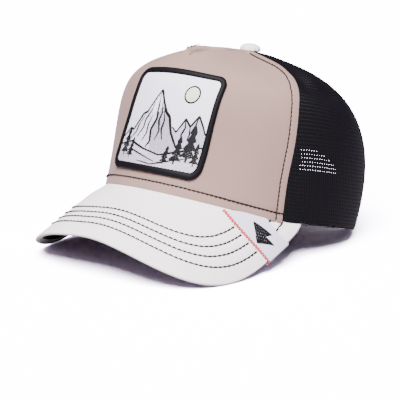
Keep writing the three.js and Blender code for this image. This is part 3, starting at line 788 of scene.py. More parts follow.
def frontRelief(turn, rise):
    edge = frontEdgeTurn(np.minimum(rise / edgeTopRise, 1))
    reach = (edge - np.abs(turn)) * meridian(turn, rise)[0]
    height = lengthAt(turn, rise)
    fromSide, fromRim = reach - seamAway(rise), height - frontLook["rimStitch"]
    raised = frontLook["foldRise"] * np.maximum(
        1 - ease(fromSide, *frontLook["foldStep"]),
        frontLook["rimFoldShare"] * (1 - ease(fromRim, *frontLook["foldStep"])))
    sideLine = np.exp(-((fromSide / frontLook["grooveWidth"]) ** 2))
    rimLine = np.exp(-((fromRim / frontLook["grooveWidth"]) ** 2))
    besideSeam = np.exp(-(((reach - frontLook["sidePucker"]) / frontLook["puckerWidth"]) ** 2))
    overRim = np.exp(-(((height - frontLook["rimPucker"]) / frontLook["puckerWidth"]) ** 2))
    puckers = np.sin(height * 1.9) * besideSeam + np.sin(turn * 190) * overRim
    plan = plainCrownPoint(turn, rise)
    x, y = plan[..., 0], plan[..., 1]
    beside = seamLine(y) - x
    along = ease(y, *topSeam["begins"]) * (np.abs(turn) < 1.5)
    flap = ease(beside, *topSeam["flapEdge"]) * (1 - ease(beside, *topSeam["flapFarEdge"]))
    flap = flap * along * (1 - ease(y, *topSeam["flapEnds"]))
    crease = np.exp(-(((beside + topSeam["creaseAside"]) / topSeam["creaseWidth"]) ** 2))
    crease = crease * along * (1 - ease(y, *topSeam["creaseEnds"]))
    slow = np.sin(turn * 7.3 + rise * 4) * np.sin(rise * 9 + turn * 2) * ease(reach, 2, 12)
    relief = raised - frontLook["groove"] * np.maximum(sideLine, rimLine)
    relief = relief + frontLook["pucker"] * puckers + frontLook["waves"] * slow
    return relief + topSeam["flap"] * flap - topSeam["crease"] * crease


def gapTurn(turn, rise):  # half the gap between two panels, as a turn
    return cap["gap"] / 2 / np.maximum(meridian(turn, rise)[0], 1)


def frontPlace(across, up):
    side = 2 * across - 1
    top = riseNearApex(side * edgeTopTurn, cap["apexHole"])
    rise = up * (edgeTopRise + (top - edgeTopRise) * (1 - np.abs(side)))
    edge = frontEdgeTurn(np.minimum(up, 1.0) * edgeTopRise)
    turn = side * (edge - gapTurn(edge, up * edgeTopRise))
    return crownLayer(turn, rise, -frontRelief(turn, rise))


clothPiece("frontPanel", (170, 128), frontPlace, (210, 150), (cap["frontThick"], 0.9, 3),
           frontCloth, "greige_cotton", "front_panel")
print("front panel ready")


def frontSeams():
    nearApex = 6.5  # closer to the apex the side stitches stop bending inwards
    rise = np.linspace(0.004, 0.965, 260) * edgeTopRise
    lines = []
    for hand in (1, -1):
        edge = frontEdgeTurn(rise / edgeTopRise)
        turn = hand * (edge - seamAway(rise) / np.maximum(meridian(edge, rise)[0], nearApex))
        lines.append(crownRun(turn, rise))
    turn = np.linspace(-1, 1, 300) * frontEdgeTurn(0.05)
    lines.append(crownRun(turn, riseAtLength(turn, 0, frontLook["rimStitch"])))
    turn = np.radians(np.linspace(*dartStitch["turn"], 20))
    rise = riseNearApex(turn, np.linspace(*dartStitch["fromApex"], 20))
    lines.append(crownRun(turn, rise, -frontRelief(turn, rise) - dartStitch["sunk"]))
    return lines


def creaseRun():  # the pleat's own thread, sunk in its crease and laid nearly unbroken: partly a real seam thread, partly a dark line of painted shade along the crease
    y = np.linspace(topSeam["y"][0] + 1, topSeam["shadeThreadEnd"], 120)
    turn, rise = placeOver(seamLine(y) + topSeam["shadeThreadAside"], y)
    return [crownRun(turn, rise, -frontRelief(turn, rise))]


# painted shade: stitches almost as long as their pitch make one dark line along the crease; partly
# a real pleat thread, partly the crease's shade painted in
stitchRun("pleatStitchesAndCreaseShade", creaseRun(), {"pitch": 2.6, "length": 2.58, "width": 1.0, "lift": 0.35,
          "wobble": 0.03}, pleatThreadAndCreaseShade, "greige_cotton")
stitchRun("frontStitches", frontSeams(), {"pitch": 3.1, "length": 3.04, "width": 1.05, "lift": 0.3,
          "wobble": 0.06}, seamThread, "black_thread")


# ---- net panels ----

net = {"column": 2.2, "row": 2.75, "post": 0.98, "bar": 1.14, "thick": 0.6, "depth": 0.62,
       "side": {"fromTurn": 58, "toTurn": 126, "middleTurn": 91, "columns": (-29, 30)},
       "back": {"fromTurn": 118, "toTurn": 180, "middleTurn": 150, "columns": (-27, 29)},
       "rows": 65, "levels": 183, "seamLayer": 8.0,
       "bend": 0.42, "cornerCut": [0.62, 0.72], "barHeight": 0.62, "flankHeight": 0.7}


class Fabric:  # flat cloth coordinates of a panel: rows follow the rim, columns are true lengths
    def __init__(self, panel, hand):
        self.turns = np.radians(np.arange(panel["fromTurn"], panel["toTurn"] + 0.5, 1.0))
        self.hand = hand
        levels = np.arange(0.0, net["levels"])[:, None]  # one for each millimetre up the panel
        self.rises = riseAtLength(self.turns[None, :], 0.0, levels)
        points = plainCrownPoint(self.turns[None, :], self.rises)
        steps = np.linalg.norm(np.diff(points, axis=1), axis=2)
        self.runs = np.concatenate([0 * levels, np.cumsum(steps, axis=1)], axis=1)
        middle = panel["middleTurn"] - panel["fromTurn"]
        self.runs -= self.runs[:, middle:middle + 1]

    def read(self, table, level, column):
        i = np.clip(level.astype(int), 0, net["levels"] - 2)
        j = np.clip(column.astype(int), 0, len(self.turns) - 2)
        a, b = level - i, column - j
        return ((table[i, j] * (1 - b) + table[i, j + 1] * b) * (1 - a)
                + (table[i + 1, j] * (1 - b) + table[i + 1, j + 1] * b) * a)

    def place(self, across, up):
        low, high = np.zeros(across.shape), np.full(across.shape, len(self.turns) - 1.0)
        column = halved(low, high, 19, lambda tried: self.read(self.runs, up, tried) < across)
        return self.turns[0] + column * math.radians(1), self.read(self.rises, up, column)


def netSheet(name, fabric, clip, spec, columns, rows):
    # holes in rows, each cell a ring of rounded bars; cloth past a panel's edge is cut to it
    m, n = columns[1] - columns[0], rows
    halfColumn, halfRow = net["column"] / 2, net["row"] / 2
    i, j = np.meshgrid(np.arange(2 * m + 1), np.arange(2 * n + 1), indexing="ij")
    gridX = columns[0] * net["column"] + spec["shift"] + i * halfColumn
    gridY = spec["start"] + j * halfRow
    cellX = (columns[0] + np.arange(m) + 0.5)[:, None] * net["column"] + spec["shift"]
    cellX = cellX + np.zeros((1, n))
    cellY = spec["start"] + (np.arange(n)[None, :] + 0.5) * net["row"] + np.zeros((m, 1))
    holeX, holeY = halfColumn - net["post"], halfRow - net["bar"]
    ring = np.array([[-1, -1], [0, -1], [1, -1], [1, 0], [1, 1], [0, 1], [-1, 1], [-1, 0]])
    atCorner = np.abs(ring).sum(1, keepdims=True) == 2
    hole = np.where(atCorner, ring * net["cornerCut"], ring) * [holeX, holeY]
    between = hole + (ring * [halfColumn, halfRow] - hole) * net["bend"]
    shapes = [np.stack([cellX, cellY], -1)[:, :, None] + part for part in (between, hole)]
    flat = np.concatenate([np.stack([gridX, gridY], -1).reshape(-1, 2)]
                          + [shape.reshape(-1, 2) for shape in shapes])
    a = math.radians(spec["slant"])
    turned = flat @ np.array([[math.cos(a), math.sin(a)], [-math.sin(a), math.cos(a)]])
    turn, rise = fabric.place(turned[:, 0], np.maximum(turned[:, 1], 0))
    turn, rise, cut = clip(turn, rise, turned[:, 1])
    crossing = ((i % 2 == 0) & (j % 2 == 0)).ravel()
    count, cells = gridX.size, m * n * 8
    height = np.concatenate([np.where(crossing, 1.0, net["barHeight"]),
                             np.full(cells, net["flankHeight"]), np.zeros(cells)])
    height = np.where(cut, 0, height) * net["thick"]
    normal = normalOf(crownPoint, turn, rise)
    base = crownLayer(turn, rise, spec["depth"])
    points = np.concatenate([base + normal * height[:, None], base - normal * height[:, None]])
    total = len(base)
    gi = np.arange(m)[:, None, None] * 2 + 1 + ring[:, 0]
    gj = np.arange(n)[None, :, None] * 2 + 1 + ring[:, 1]
    outer = (gi * (2 * n + 1) + gj).reshape(-1, 8)
    middle = (count + np.arange(cells)).reshape(-1, 8)
    inner = middle + cells
    spread = base[outer].max(axis=1) - base[outer].min(axis=1)
    kept = (np.sort(spread, axis=1)[:, 1] > 0.25) & ~cut[inner].all(axis=1)  # no slivers
    outer, middle, inner = outer[kept], middle[kept], inner[kept]
    nextOne = np.roll(np.arange(8), -1)
    below = outer + total
    quads = np.concatenate([np.stack(corners, -1).reshape(-1, 4) for corners in (
        (outer, outer[:, nextOne], middle[:, nextOne], middle),
        (middle, middle[:, nextOne], inner[:, nextOne], inner),
        (below, inner, inner[:, nextOne], below[:, nextOne]))])
    points[:, 0] *= fabric.hand
    if fabric.hand < 0:
        quads = quads[:, ::-1]
    used, order = np.unique(quads, return_inverse=True)
    piece = meshFrom(name, points[used], order.reshape(-1, 4).tolist())
    cleanUp(piece, 0.02, False)
    smooth(piece, 75)
    return piece


def clipTo(lowTurn, highTurn, lowRise, highRise):
    # keeps a panel's cloth inside its edges; each limit is a function of turn and rise
    def clip(turn, rise, raw):
        cut = raw <= 1e-6
        bottom = lowRise(turn)
        cut |= rise <= bottom
        rise = np.maximum(rise, bottom)
        top = highRise(turn)
        cut |= rise >= top
        rise = np.minimum(rise, top)
        start, end = lowTurn(rise), highTurn(rise)
        cut |= (turn <= start) | (turn >= end)
        return np.clip(turn, start, end), rise, cut
    return clip


def frontSeamTurn(rise):
    return frontEdgeTurn(np.minimum(rise / edgeTopRise, 1) * edgeTopRise)


backSeam = math.radians(cap["backSeamTurn"])
archGap = cap["archRadius"] + 0.8 + 2 * cap["gap"]  # the net ends under the arch's tape
archAngles = np.linspace(float(archAngle(0, archGap)), math.pi / 2, 120)
archTurns, archRises = archPlace(archAngles, archGap)


def archRise(turn):
    return np.interp(turn, archTurns, archRises, left=0, right=archRises[-1])


def apexRise(turn):
    return riseNearApex(turn, cap["apexHole"])


def noRise(turn):
    return np.zeros(turn.shape)


def frontSide(rise):
    return frontSeamTurn(rise) + gapTurn(frontSeamTurn(rise), rise)


def turnedInSide(rise):
    reach = np.maximum(meridian(frontSide(rise), rise)[0], 9)
    return frontSide(rise) + net["seamLayer"] / reach


def backSide(rise):
    return backSeam + 0 * rise


def backMiddle(rise):
    return math.pi + 0 * rise


outerNet = {"depth": net["depth"], "slant": 0, "start": 0, "shift": 0}
turnedInNet = {"depth": net["depth"] + 1.15, "slant": 17, "start": -44 * net["row"], "shift": 0.7,
               "columns": (-36, 46), "rows": 108}
for hand, word in ((1, "Left"), (-1, "Right")):
    sideFabric, backFabric = Fabric(net["side"], hand), Fabric(net["back"], hand)
    side = netSheet("netSide" + word, sideFabric, clipTo(frontSide, backSide, noRise, apexRise),
                    outerNet, net["side"]["columns"], net["rows"])
    finishPiece(side, netYarn, "black_net", "mesh_side_" + word.lower())
    back = netSheet("netBack" + word, backFabric, clipTo(backSide, backMiddle, archRise, apexRise),
                    outerNet, net["back"]["columns"], net["rows"])
    finishPiece(back, netYarn, "black_net", "mesh_back_" + word.lower())
    turnedIn = netSheet("netSeamLayer" + word, sideFabric,
                        clipTo(frontSide, turnedInSide, noRise, apexRise),
                        turnedInNet, turnedInNet["columns"], turnedInNet["rows"])
    finishPiece(turnedIn, netYarn, "black_net")


seamTape = {"width": 11, "depth": 1.5, "thick": 0.6, "topRise": 0.955}


def seamTapePlace(middle, low, high):  # a tape inside each seam of the net
    def place(across, up):
        rise = low + (high - low) * up
        reach = np.maximum(meridian(middle + 0 * rise, rise)[0], 9)
        turn = middle + (across - 0.5) * seamTape["width"] / reach
        return crownLayer(turn, rise, seamTape["depth"])
    return place


for word, middle, low in (("Left", backSeam, 0.0), ("Right", -backSeam, 0.0),
                          ("Back", math.pi, float(archRises[-1]))):
    clothPiece("seamTape" + word, (8, 120), seamTapePlace(middle, low, seamTape["topRise"]),
               (seamTape["width"], 160), (seamTape["thick"], 0.2, 1), bandCloth, "black_band")


hemTape = {"height": 7.0, "depth": 1.5, "thick": 0.7, "ripple": 0.12, "ripples": 60}


def leftHemPlace(across, up):
    low, high = frontSeamTurn(0 * up) + 0.004, 0 * up + float(archTurns[0]) - 0.02
    turn = low + (high - low) * across
    depth = hemTape["depth"] - hemTape["ripple"] * np.sin(turn * hemTape["ripples"])
    return crownLayer(turn, riseAtLength(turn, 0.0, up * hemTape["height"]), depth)


def rightHemPlace(across, up):
    return leftHemPlace(1 - across, up) * [-1, 1, 1]


for word, hemPlace in (("Left", leftHemPlace), ("Right", rightHemPlace)):
    clothPiece("netHemTape" + word, (160, 8), hemPlace, (150, hemTape["height"]),
               (hemTape["thick"], 0.25, 1), netYarn, "black_net")
print("net ready")


# ---- peak ----

peakLook = {"rows": [  # stitch rows: squared ovals inside the outer edge
    {"front": 127.0, "left": 67.6, "right": 69.0, "squareness": 3.15},
    {"front": 132.9, "left": 72.5, "right": 72.4, "squareness": 3.12},
    {"front": 138.8, "left": 77.2, "right": 75.4, "squareness": 3.06},
    {"front": 145.3, "left": 81.9, "right": 78.6, "squareness": 2.98}],
    "groove": 0.28, "grooveWidth": 1.0, "nose": 1.45, "turnedUnder": 3.0,
    "cornerTurns": (55, 60), "cornerOutwards": 0.8,  # its hind corners stay outside the rim
    "stitchDepth": 0.5, "underStitchDepth": 3.3}
stripFront = [(55.1, -80.4), (72.8, -78.3), (87.0, -69.2)]  # edges of the corner strip in plan
stripRear = [(73.9, -55.3), (80.3, -53.2), (86.9, -46.8)]
cornerEnds = [((76.2, -56.8), (76.0, -51.7)), ((80.9, -54.6), (80.1, -43.8))]  # behind the strip


def bowedLine(points, t):  # a curve through three points
    p = np.array(points)
    steps = np.linalg.norm(np.diff(p, axis=0), axis=1)
    m = steps[0] / steps.sum()
    a, b, c = (t - m) * (t - 1) / m, t * (t - 1) / (m * (m - 1)), t * (t - m) / (1 - m)
    return tuple(a * p[0, k] + b * p[1, k] + c * p[2, k] for k in (0, 1))


def rowOffset(x, y, row):
    depth = row["front"] + edgeCentreY
    ahead = np.maximum(edgeCentreY - y, 0) / depth
    wide = np.abs(x) / np.where(x > 0, row["left"], row["right"])
    n = row["squareness"]
    return ((wide**n + ahead**n) ** (1 / n) - 1) * (row["left"] + depth) / 2


def peakRelief(x, y):
    relief = np.zeros(x.shape)
    for row in peakLook["rows"]:
        away = rowOffset(x, y, row)
        relief -= peakLook["groove"] * np.exp(-((away / peakLook["grooveWidth"]) ** 2))
    return relief


def peakTopPlace(across, up):
    # over the top, round the outer edge and a little way back underneath
    startX, startY = peakPlan(across, 0 * up, 0)
    side = (2 * across - 1) * math.radians(cap["peakCorner"])
    outwards = ease(np.abs(np.degrees(side)), *peakLook["cornerTurns"]) * peakLook["cornerOutwards"]
    wallX, wallY = rimPlan(side)
    startX, startY = startX + (wallX - startX) * outwards, startY + (wallY - startY) * outwards
    endX, endY = peakPlan(across, 0 * up + 1, 0)
    run = np.hypot(endX - startX, endY - startY)
    nose, around = peakLook["nose"], peakLook["nose"] * math.pi
    turnedUnder = np.minimum(peakLook["turnedUnder"], 0.6 * (run - nose))
    length = up * (run - nose + around + turnedUnder)
    past = np.clip((length - run + nose) / around, 0, 1)
    below = np.clip(length - run + nose - around, 0, None)
    wide = np.minimum(nose, 0.4 * run)
    out = (np.minimum(length, run - nose) + np.sin(past * math.pi) * wide - below) / run
    x, y = startX + (endX - startX) * out, startY + (endY - startY) * out
    depth = cap["gap"] + nose * (1 - np.cos(past * math.pi))
    return peakLayer(x, y, depth - peakRelief(x, y) * (past == 0))


def peakUnderPlace(across, up):
    x, y = peakPlan(across, up, peakLook["turnedUnder"])
    depth = 2 * cap["gap"] + cap["peakTopThick"] + cap["peakUnderThick"] - 0.1
    return peakLayer(x, y, depth + peakRelief(x, y) * 0.6)


clothPiece("peakTop", (224, 98), lambda across, up: peakTopPlace(across, 1 - up), (260, 66),
           (1.1, 0.3, 2), peakCloth, "white_cotton", "peak_top")
clothPiece("peakUnderside", (150, 44), peakUnderPlace, (250, 66),
           (cap["peakUnderThick"], 0.4, 2), underCloth, "dark_cotton", "peak_underside")


def peakRun(x, y, depth):
    return peakLayer(x, y, depth), unit(peakLayer(x, y, -1) - peakLayer(x, y, 0))


def peakRuns(depth, under):
    # the stitch rows, on top up to the corner strip and underneath all the way
    lines = []
    frontX, frontY = bowedLine(stripFront, np.linspace(0, 1, 30))
    for row in peakLook["rows"]:
        angle = np.linspace(-2.2, 2.2, 1400)
        halfWidth = np.where(angle > 0, row["left"], row["right"])
        x, y = squaredOval(angle, halfWidth, row["front"] + edgeCentreY, row["squareness"])
        turn = np.arctan2(x, -y)
        wallX, wallY = rimPlan(turn)
        outside = np.hypot(x, y) > np.hypot(wallX, wallY) + 0.5
        outside &= np.abs(turn) < math.radians(cap["peakCorner"])
        hidden = (x > 50) & (y > np.interp(x, frontX, frontY) - 1)
        shown = outside & (np.full(x.shape, under) | ~hidden)
        edges = np.flatnonzero(np.diff(np.concatenate([[0], shown.astype(int), [0]])))
        for start, end in zip(edges[::2], edges[1::2]):
            if end - start < 8:
                continue
            points, above = peakRun(x[start:end], y[start:end], depth)
            lines.append((points, -above if under else above))
    return lines


def cornerRuns():  # the ends of two rows, in the corner behind the strip
    return [peakRun(*np.linspace(start, end, 12).T, cap["gap"]) for start, end in cornerEnds]


stitchRun("peakStitches", peakRuns(peakLook["stitchDepth"], False), {"pitch": 3.6,
          "length": 3.45, "width": 1.2, "lift": 0.26, "wobble": 0.05}, peakThread, "black_thread")
stitchRun("cornerStitches", cornerRuns(), {"pitch": 4.6, "length": 4.5, "width": 1.1,
          "lift": 0.3, "wobble": 0.05}, peakThread, "black_thread")
stitchRun("peakUnderStitches", peakRuns(peakLook["underStitchDepth"], True), {"pitch": 3.7,
          "length": 3.2, "width": 0.6, "lift": 0.0, "wobble": 0.05}, peakThread, "black_thread")
print("peak ready")


# ---- strip over the wearer's left corner of the peak ----

strip = {"thick": 0.45, "width": 26, "wrap": 9.0, "run": 31.0, "runLoss": 13, "start": 0.6,
         "nose": 5.4, "clearance": 0.5, "bulge": 0.3, "zigzagPitch": 2.4, "zigzagWidth": 2.3,
         "zigzagEnd": 0.75, "zigzagThread": 0.8, "zigzagIn": 0.012}


def stripPlace(across, up):
    # down the top of the peak, round its edge and a little way back underneath
    low = 2 * cap["gap"] + cap["peakTopThick"] + cap["peakUnderThick"]
    half = (low + strip["clearance"] + strip["thick"]) / 2
    run = strip["run"] - strip["runLoss"] * across
    length = strip["start"] + up * (run - strip["start"] + strip["nose"] + strip["wrap"])
    past = np.clip((length - run) / strip["nose"], 0, 1)
    under = np.clip(length - run - strip["nose"], 0, None)
    t = (np.minimum(length, run) - under) / run
    frontX, frontY = bowedLine(stripFront, t)
    rearX, rearY = bowedLine(stripRear, t)
    x = frontX + (rearX - frontX) * across
    x = x + np.sin(past * math.pi) * (strip["bulge"] + strip["thick"])
    y = frontY + (rearY - frontY) * across
    return peakLayer(x, y, half * (1 - np.cos(past * math.pi)) - strip["thick"])


clothPiece("peakCornerStrip", (40, 100), lambda across, up: stripPlace(1 - across, up),
           (strip["width"], 66), (strip["thick"] * 0.9, 0.25, 2), ribbonCloth, "grey_cotton",
           "peak_corner_strip")


def zigzag():
    up = np.linspace(0.0, strip["zigzagEnd"], 700)
    run = lengthsAlong(stripPlace(np.zeros(700), up))
    count = int(run[-1] / strip["zigzagPitch"] * 2)  # two threads to a pitch
    spots = np.interp(np.arange(count + 1) * run[-1] / count, run, up)
    hand = np.where(np.arange(count + 1) % 2 == 0, 1, -1)
    hand = hand * strip["zigzagWidth"] / 2 / strip["width"]
    ups = spots[:-1, None] + (spots[1:] - spots[:-1])[:, None] * threadShares
    sides = hand[:-1, None] + (hand[1:] - hand[:-1])[:, None] * threadShares + strip["zigzagIn"]
    centres = stripPlace(sides, ups)
    above = unit(np.cross(stripPlace(sides, ups + 0.004) - centres,
                          stripPlace(sides + 0.018, ups) - centres))
    side = unit(np.cross(unit(np.gradient(centres, axis=1)), above))
    lift = np.array([0.0, 0.25, 0.3, 0.25, 0.0])
    half = np.tile(np.array([0.7, 1, 1, 1, 0.7]) * strip["zigzagThread"] / 2, (count, 1))
    centres = centres + above * lift[None, :, None]
    piece = sweepMany("redZigzag", centres, side, above, half, half * 0.7)
    return finishPiece(piece, redThread, "grey_cotton")


zigzag()
print("strip ready")


# ---- embroidery ----

def fillStitches(outline, degrees, pitch, length):
    # parallel stitches that fill an outline, as rows of starts and ends
    shape = np.array(outline, float)
    a = math.radians(degrees)
    turn = np.array([[math.cos(a), -math.sin(a)], [math.sin(a), math.cos(a)]])
    local = shape @ turn
    found = []
    for k, level in enumerate(np.arange(local[:, 1].min() + pitch / 2, local[:, 1].max(), pitch)):
        crossings = []
        for p, q in zip(local, np.roll(local, -1, axis=0)):
            if (p[1] <= level) != (q[1] <= level):
                crossings.append(p[0] + (level - p[1]) / (q[1] - p[1]) * (q[0] - p[0]))
        crossings.sort()
        for start, end in zip(crossings[::2], crossings[1::2]):
            first = math.floor(start / length) * length + (k % 3) / 3 * length
            inner = [x for x in np.arange(first, end, length) if start + 0.9 < x < end - 0.9]
            cuts = [start] + inner + [end]
            found += [((x0, level), (x1, level)) for x0, x1 in zip(cuts[:-1], cuts[1:])
                      if x1 - x0 > 0.35]
    return [(np.array(p) @ turn.T, np.array(q) @ turn.T) for p, q in found]


def lineStitches(path, widths, pitch=0.42):
    # satin stitches laid across a line, for outlines and brush-like strokes
    path = np.array(path, float)
    run = lengthsAlong(path)
    spots = np.arange(0, run[-1], pitch)
    middle = readAlong(spots, run, path)
    along = np.gradient(middle, axis=0)
    along /= np.linalg.norm(along, axis=1, keepdims=True)
    across = np.stack([-along[:, 1], along[:, 0]], -1) + along * 0.35
    half = np.interp(spots / run[-1], np.linspace(0, 1, len(widths)), widths)[:, None] / 2
    return list(zip(middle - across * half, middle + across * half))


def sewPicture(name, groups, place, spec):
    # groups hold stitches, a colour and a height; place turns flat millimetres into the surface
    centres, sides, ups, widths, colours = [], [], [], [], []
    for group in groups:
        ends = np.array(group["stitches"])
        start, along = ends[:, 0], ends[:, 1] - ends[:, 0]
        flat = start[:, None] + along[:, None] * threadShares[None, :, None]
        across = np.stack([-along[:, 1], along[:, 0]], -1)
        across /= np.maximum(np.linalg.norm(across, axis=1, keepdims=True), 1e-6)
        lift = group["height"] + np.array([-0.1, 0.06, 0.09, 0.06, -0.1])
        lift = lift[None, :] + rng.normal(0, 0.015, (len(flat), 1))
        middle = place(flat[..., 0], flat[..., 1], lift)
        shifted = flat + across[:, None] * 0.2
        side = unit(place(shifted[..., 0], shifted[..., 1], lift) - middle)
        up = unit(place(flat[..., 0], flat[..., 1], lift + 0.5) - middle)
        centres.append(middle)
        sides.append(side)
        ups.append(up)
        taper = np.array([0.75, 1, 1, 1, 0.75]) * group["thread"] / 2
        widths.append(np.tile(taper, (len(flat), 1)))
        tone = np.array(linear(group["colour"])) * (1 + rng.normal(0, 0.05, (len(flat), 1)))
        colours.append(np.repeat(tone, 5 * spec["around"], axis=0))
    centres, sides, ups, widths = (np.concatenate(part) for part in (centres, sides, ups, widths))
    piece = sweepMany(name, centres, sides, ups, widths, widths * 0.45, spec["around"])
    paintPoints(piece, np.clip(np.concatenate(colours), 0, 1))
    return piece


patch = {"width": 84, "height": 76, "corner": 9, "lowRise": 0.055, "highRise": [0.53, 0.572],
         "rightTurns": [-24.2, -21.7, -18.8, -17.0, -16.6],  # its side edges, from bottom to top
         "leftTurns": [24.2, 27.1, 29.2, 31.6, 34.6],
         "border": 4.6, "fieldUnder": 0.8, "fieldThick": 1.2, "borderWidth": 5.1,
         "borderRise": 2.5, "borderRound": 14, "threadRidge": 0.07, "threadSlant": 0.45,
         "stations": 760}


def patchPoint(across, up, height):
    share, place = up / patch["height"], across / patch["width"] + 0.5
    zero = np.zeros(np.shape(up))
    low, (highRight, highLeft) = patch["lowRise"], patch["highRise"]
    high = float(riseAtLength(np.zeros(1), low, patch["height"])[0])
    stretch = (highRight + (highLeft - highRight) * place - low) / (high - low)
    rise = low + (riseAtLength(zero, low, up) - low) * stretch
    shares = np.linspace(0, 1, len(patch["leftTurns"]))
    right = np.interp(share, shares, patch["rightTurns"])
    left = np.interp(share, shares, patch["leftTurns"])
    return crownLayer(np.radians(right + (left - right) * place), rise, -height)


def patchFieldPlace(across, up):
    inset = patch["border"] - patch["fieldUnder"]  # its edge lies under the border
    half, tall = patch["width"] / 2 - inset, patch["height"] / 2 - inset
    corner = patch["corner"] - inset
    x = (2 * across - 1) * half
    past = np.clip(np.abs(x) - (half - corner), 0, corner)
    reach = tall - (corner - np.sqrt(np.maximum(corner**2 - past**2, 0)))
    return patchPoint(x, patch["height"] / 2 + (2 * up - 1) * reach,
                      cap["gap"] + patch["fieldThick"])


clothPiece("patchGround", (64, 56), patchFieldPlace, (76, 68), (patch["fieldThick"] - 0.1,),
           patchCloth, "patch_thread", "patch_field")


def roundedOutline(count):
    # points and inward directions round the patch, at even steps
    corner, halfWidth, halfHeight = patch["corner"], patch["width"] / 2, patch["height"] / 2
    points, inward = [], []
    for sx, sy, start in ((1, 1, 0), (-1, 1, 90), (-1, -1, 180), (1, -1, 270)):
        for angle in np.radians(np.linspace(start, start + 90, 60)):
            points.append((sx * (halfWidth - corner) + corner * math.cos(angle),
                           sy * (halfHeight - corner) + corner * math.sin(angle)))
            inward.append((-math.cos(angle), -math.sin(angle)))
    points.append(points[0])
    inward.append(inward[0])
    points, inward = np.array(points), np.array(inward)
    run = lengthsAlong(points)
    spots = np.arange(count) * run[-1] / count
    return readAlong(spots, run, points), unit(readAlong(spots, run, inward))


def borderPlace(across, up):
    # a domed satin band; every second station is a little lower, so that the threads show
    points, inward = roundedOutline(patch["stations"])
    station = np.round(across * patch["stations"]).astype(int)
    around = patch["borderRound"]
    angle = 2 * math.pi * (np.round(up * around) % around) / around
    inset = patch["borderWidth"] / 2 * (1 - np.cos(angle))
    height = np.maximum(np.sin(angle), 0) ** 0.7 * patch["borderRise"]
    ridge = np.where(station % 2 == 0, 1, -1) * patch["threadRidge"] * (np.sin(angle) > 0.1)
    slant = np.round((inset - patch["border"] / 2) * patch["threadSlant"]).astype(int)
    index = (station + slant) % patch["stations"]
    spot = points[index] + inward[index] * inset[:, None]
    return patchPoint(spot[:, 0], patch["height"] / 2 + spot[:, 1], cap["gap"] + height + ridge)


border = formGrid("patchBorder", patch["stations"], patch["borderRound"], borderPlace, (290, 10))
cleanUp(border, 0.01)
smooth(border, 80)
finishPiece(border, borderThread, "black_thread", "patch_border")


def pine(x, y, tall, wide, tiers=4):
    trunk = 0.12  # share of the height below the lowest tier
    edge = [(wide * 0.07, 0), (wide * 0.07, tall * trunk)]  # distance from the middle, height
    for k in range(tiers):
        low, high = (tall * (trunk + (1 - trunk) * step / tiers) for step in (k, k + 1))
        half = wide / 2 * (1 - 0.78 * k / tiers)
        edge += [(half, low), (half * 0.38, high - (high - low) * 0.18)]
    left, right = ([(x + hand * away, y + up) for away, up in edge] for hand in (-1, 1))
    return left + [(x, y + tall)] + right[::-1]


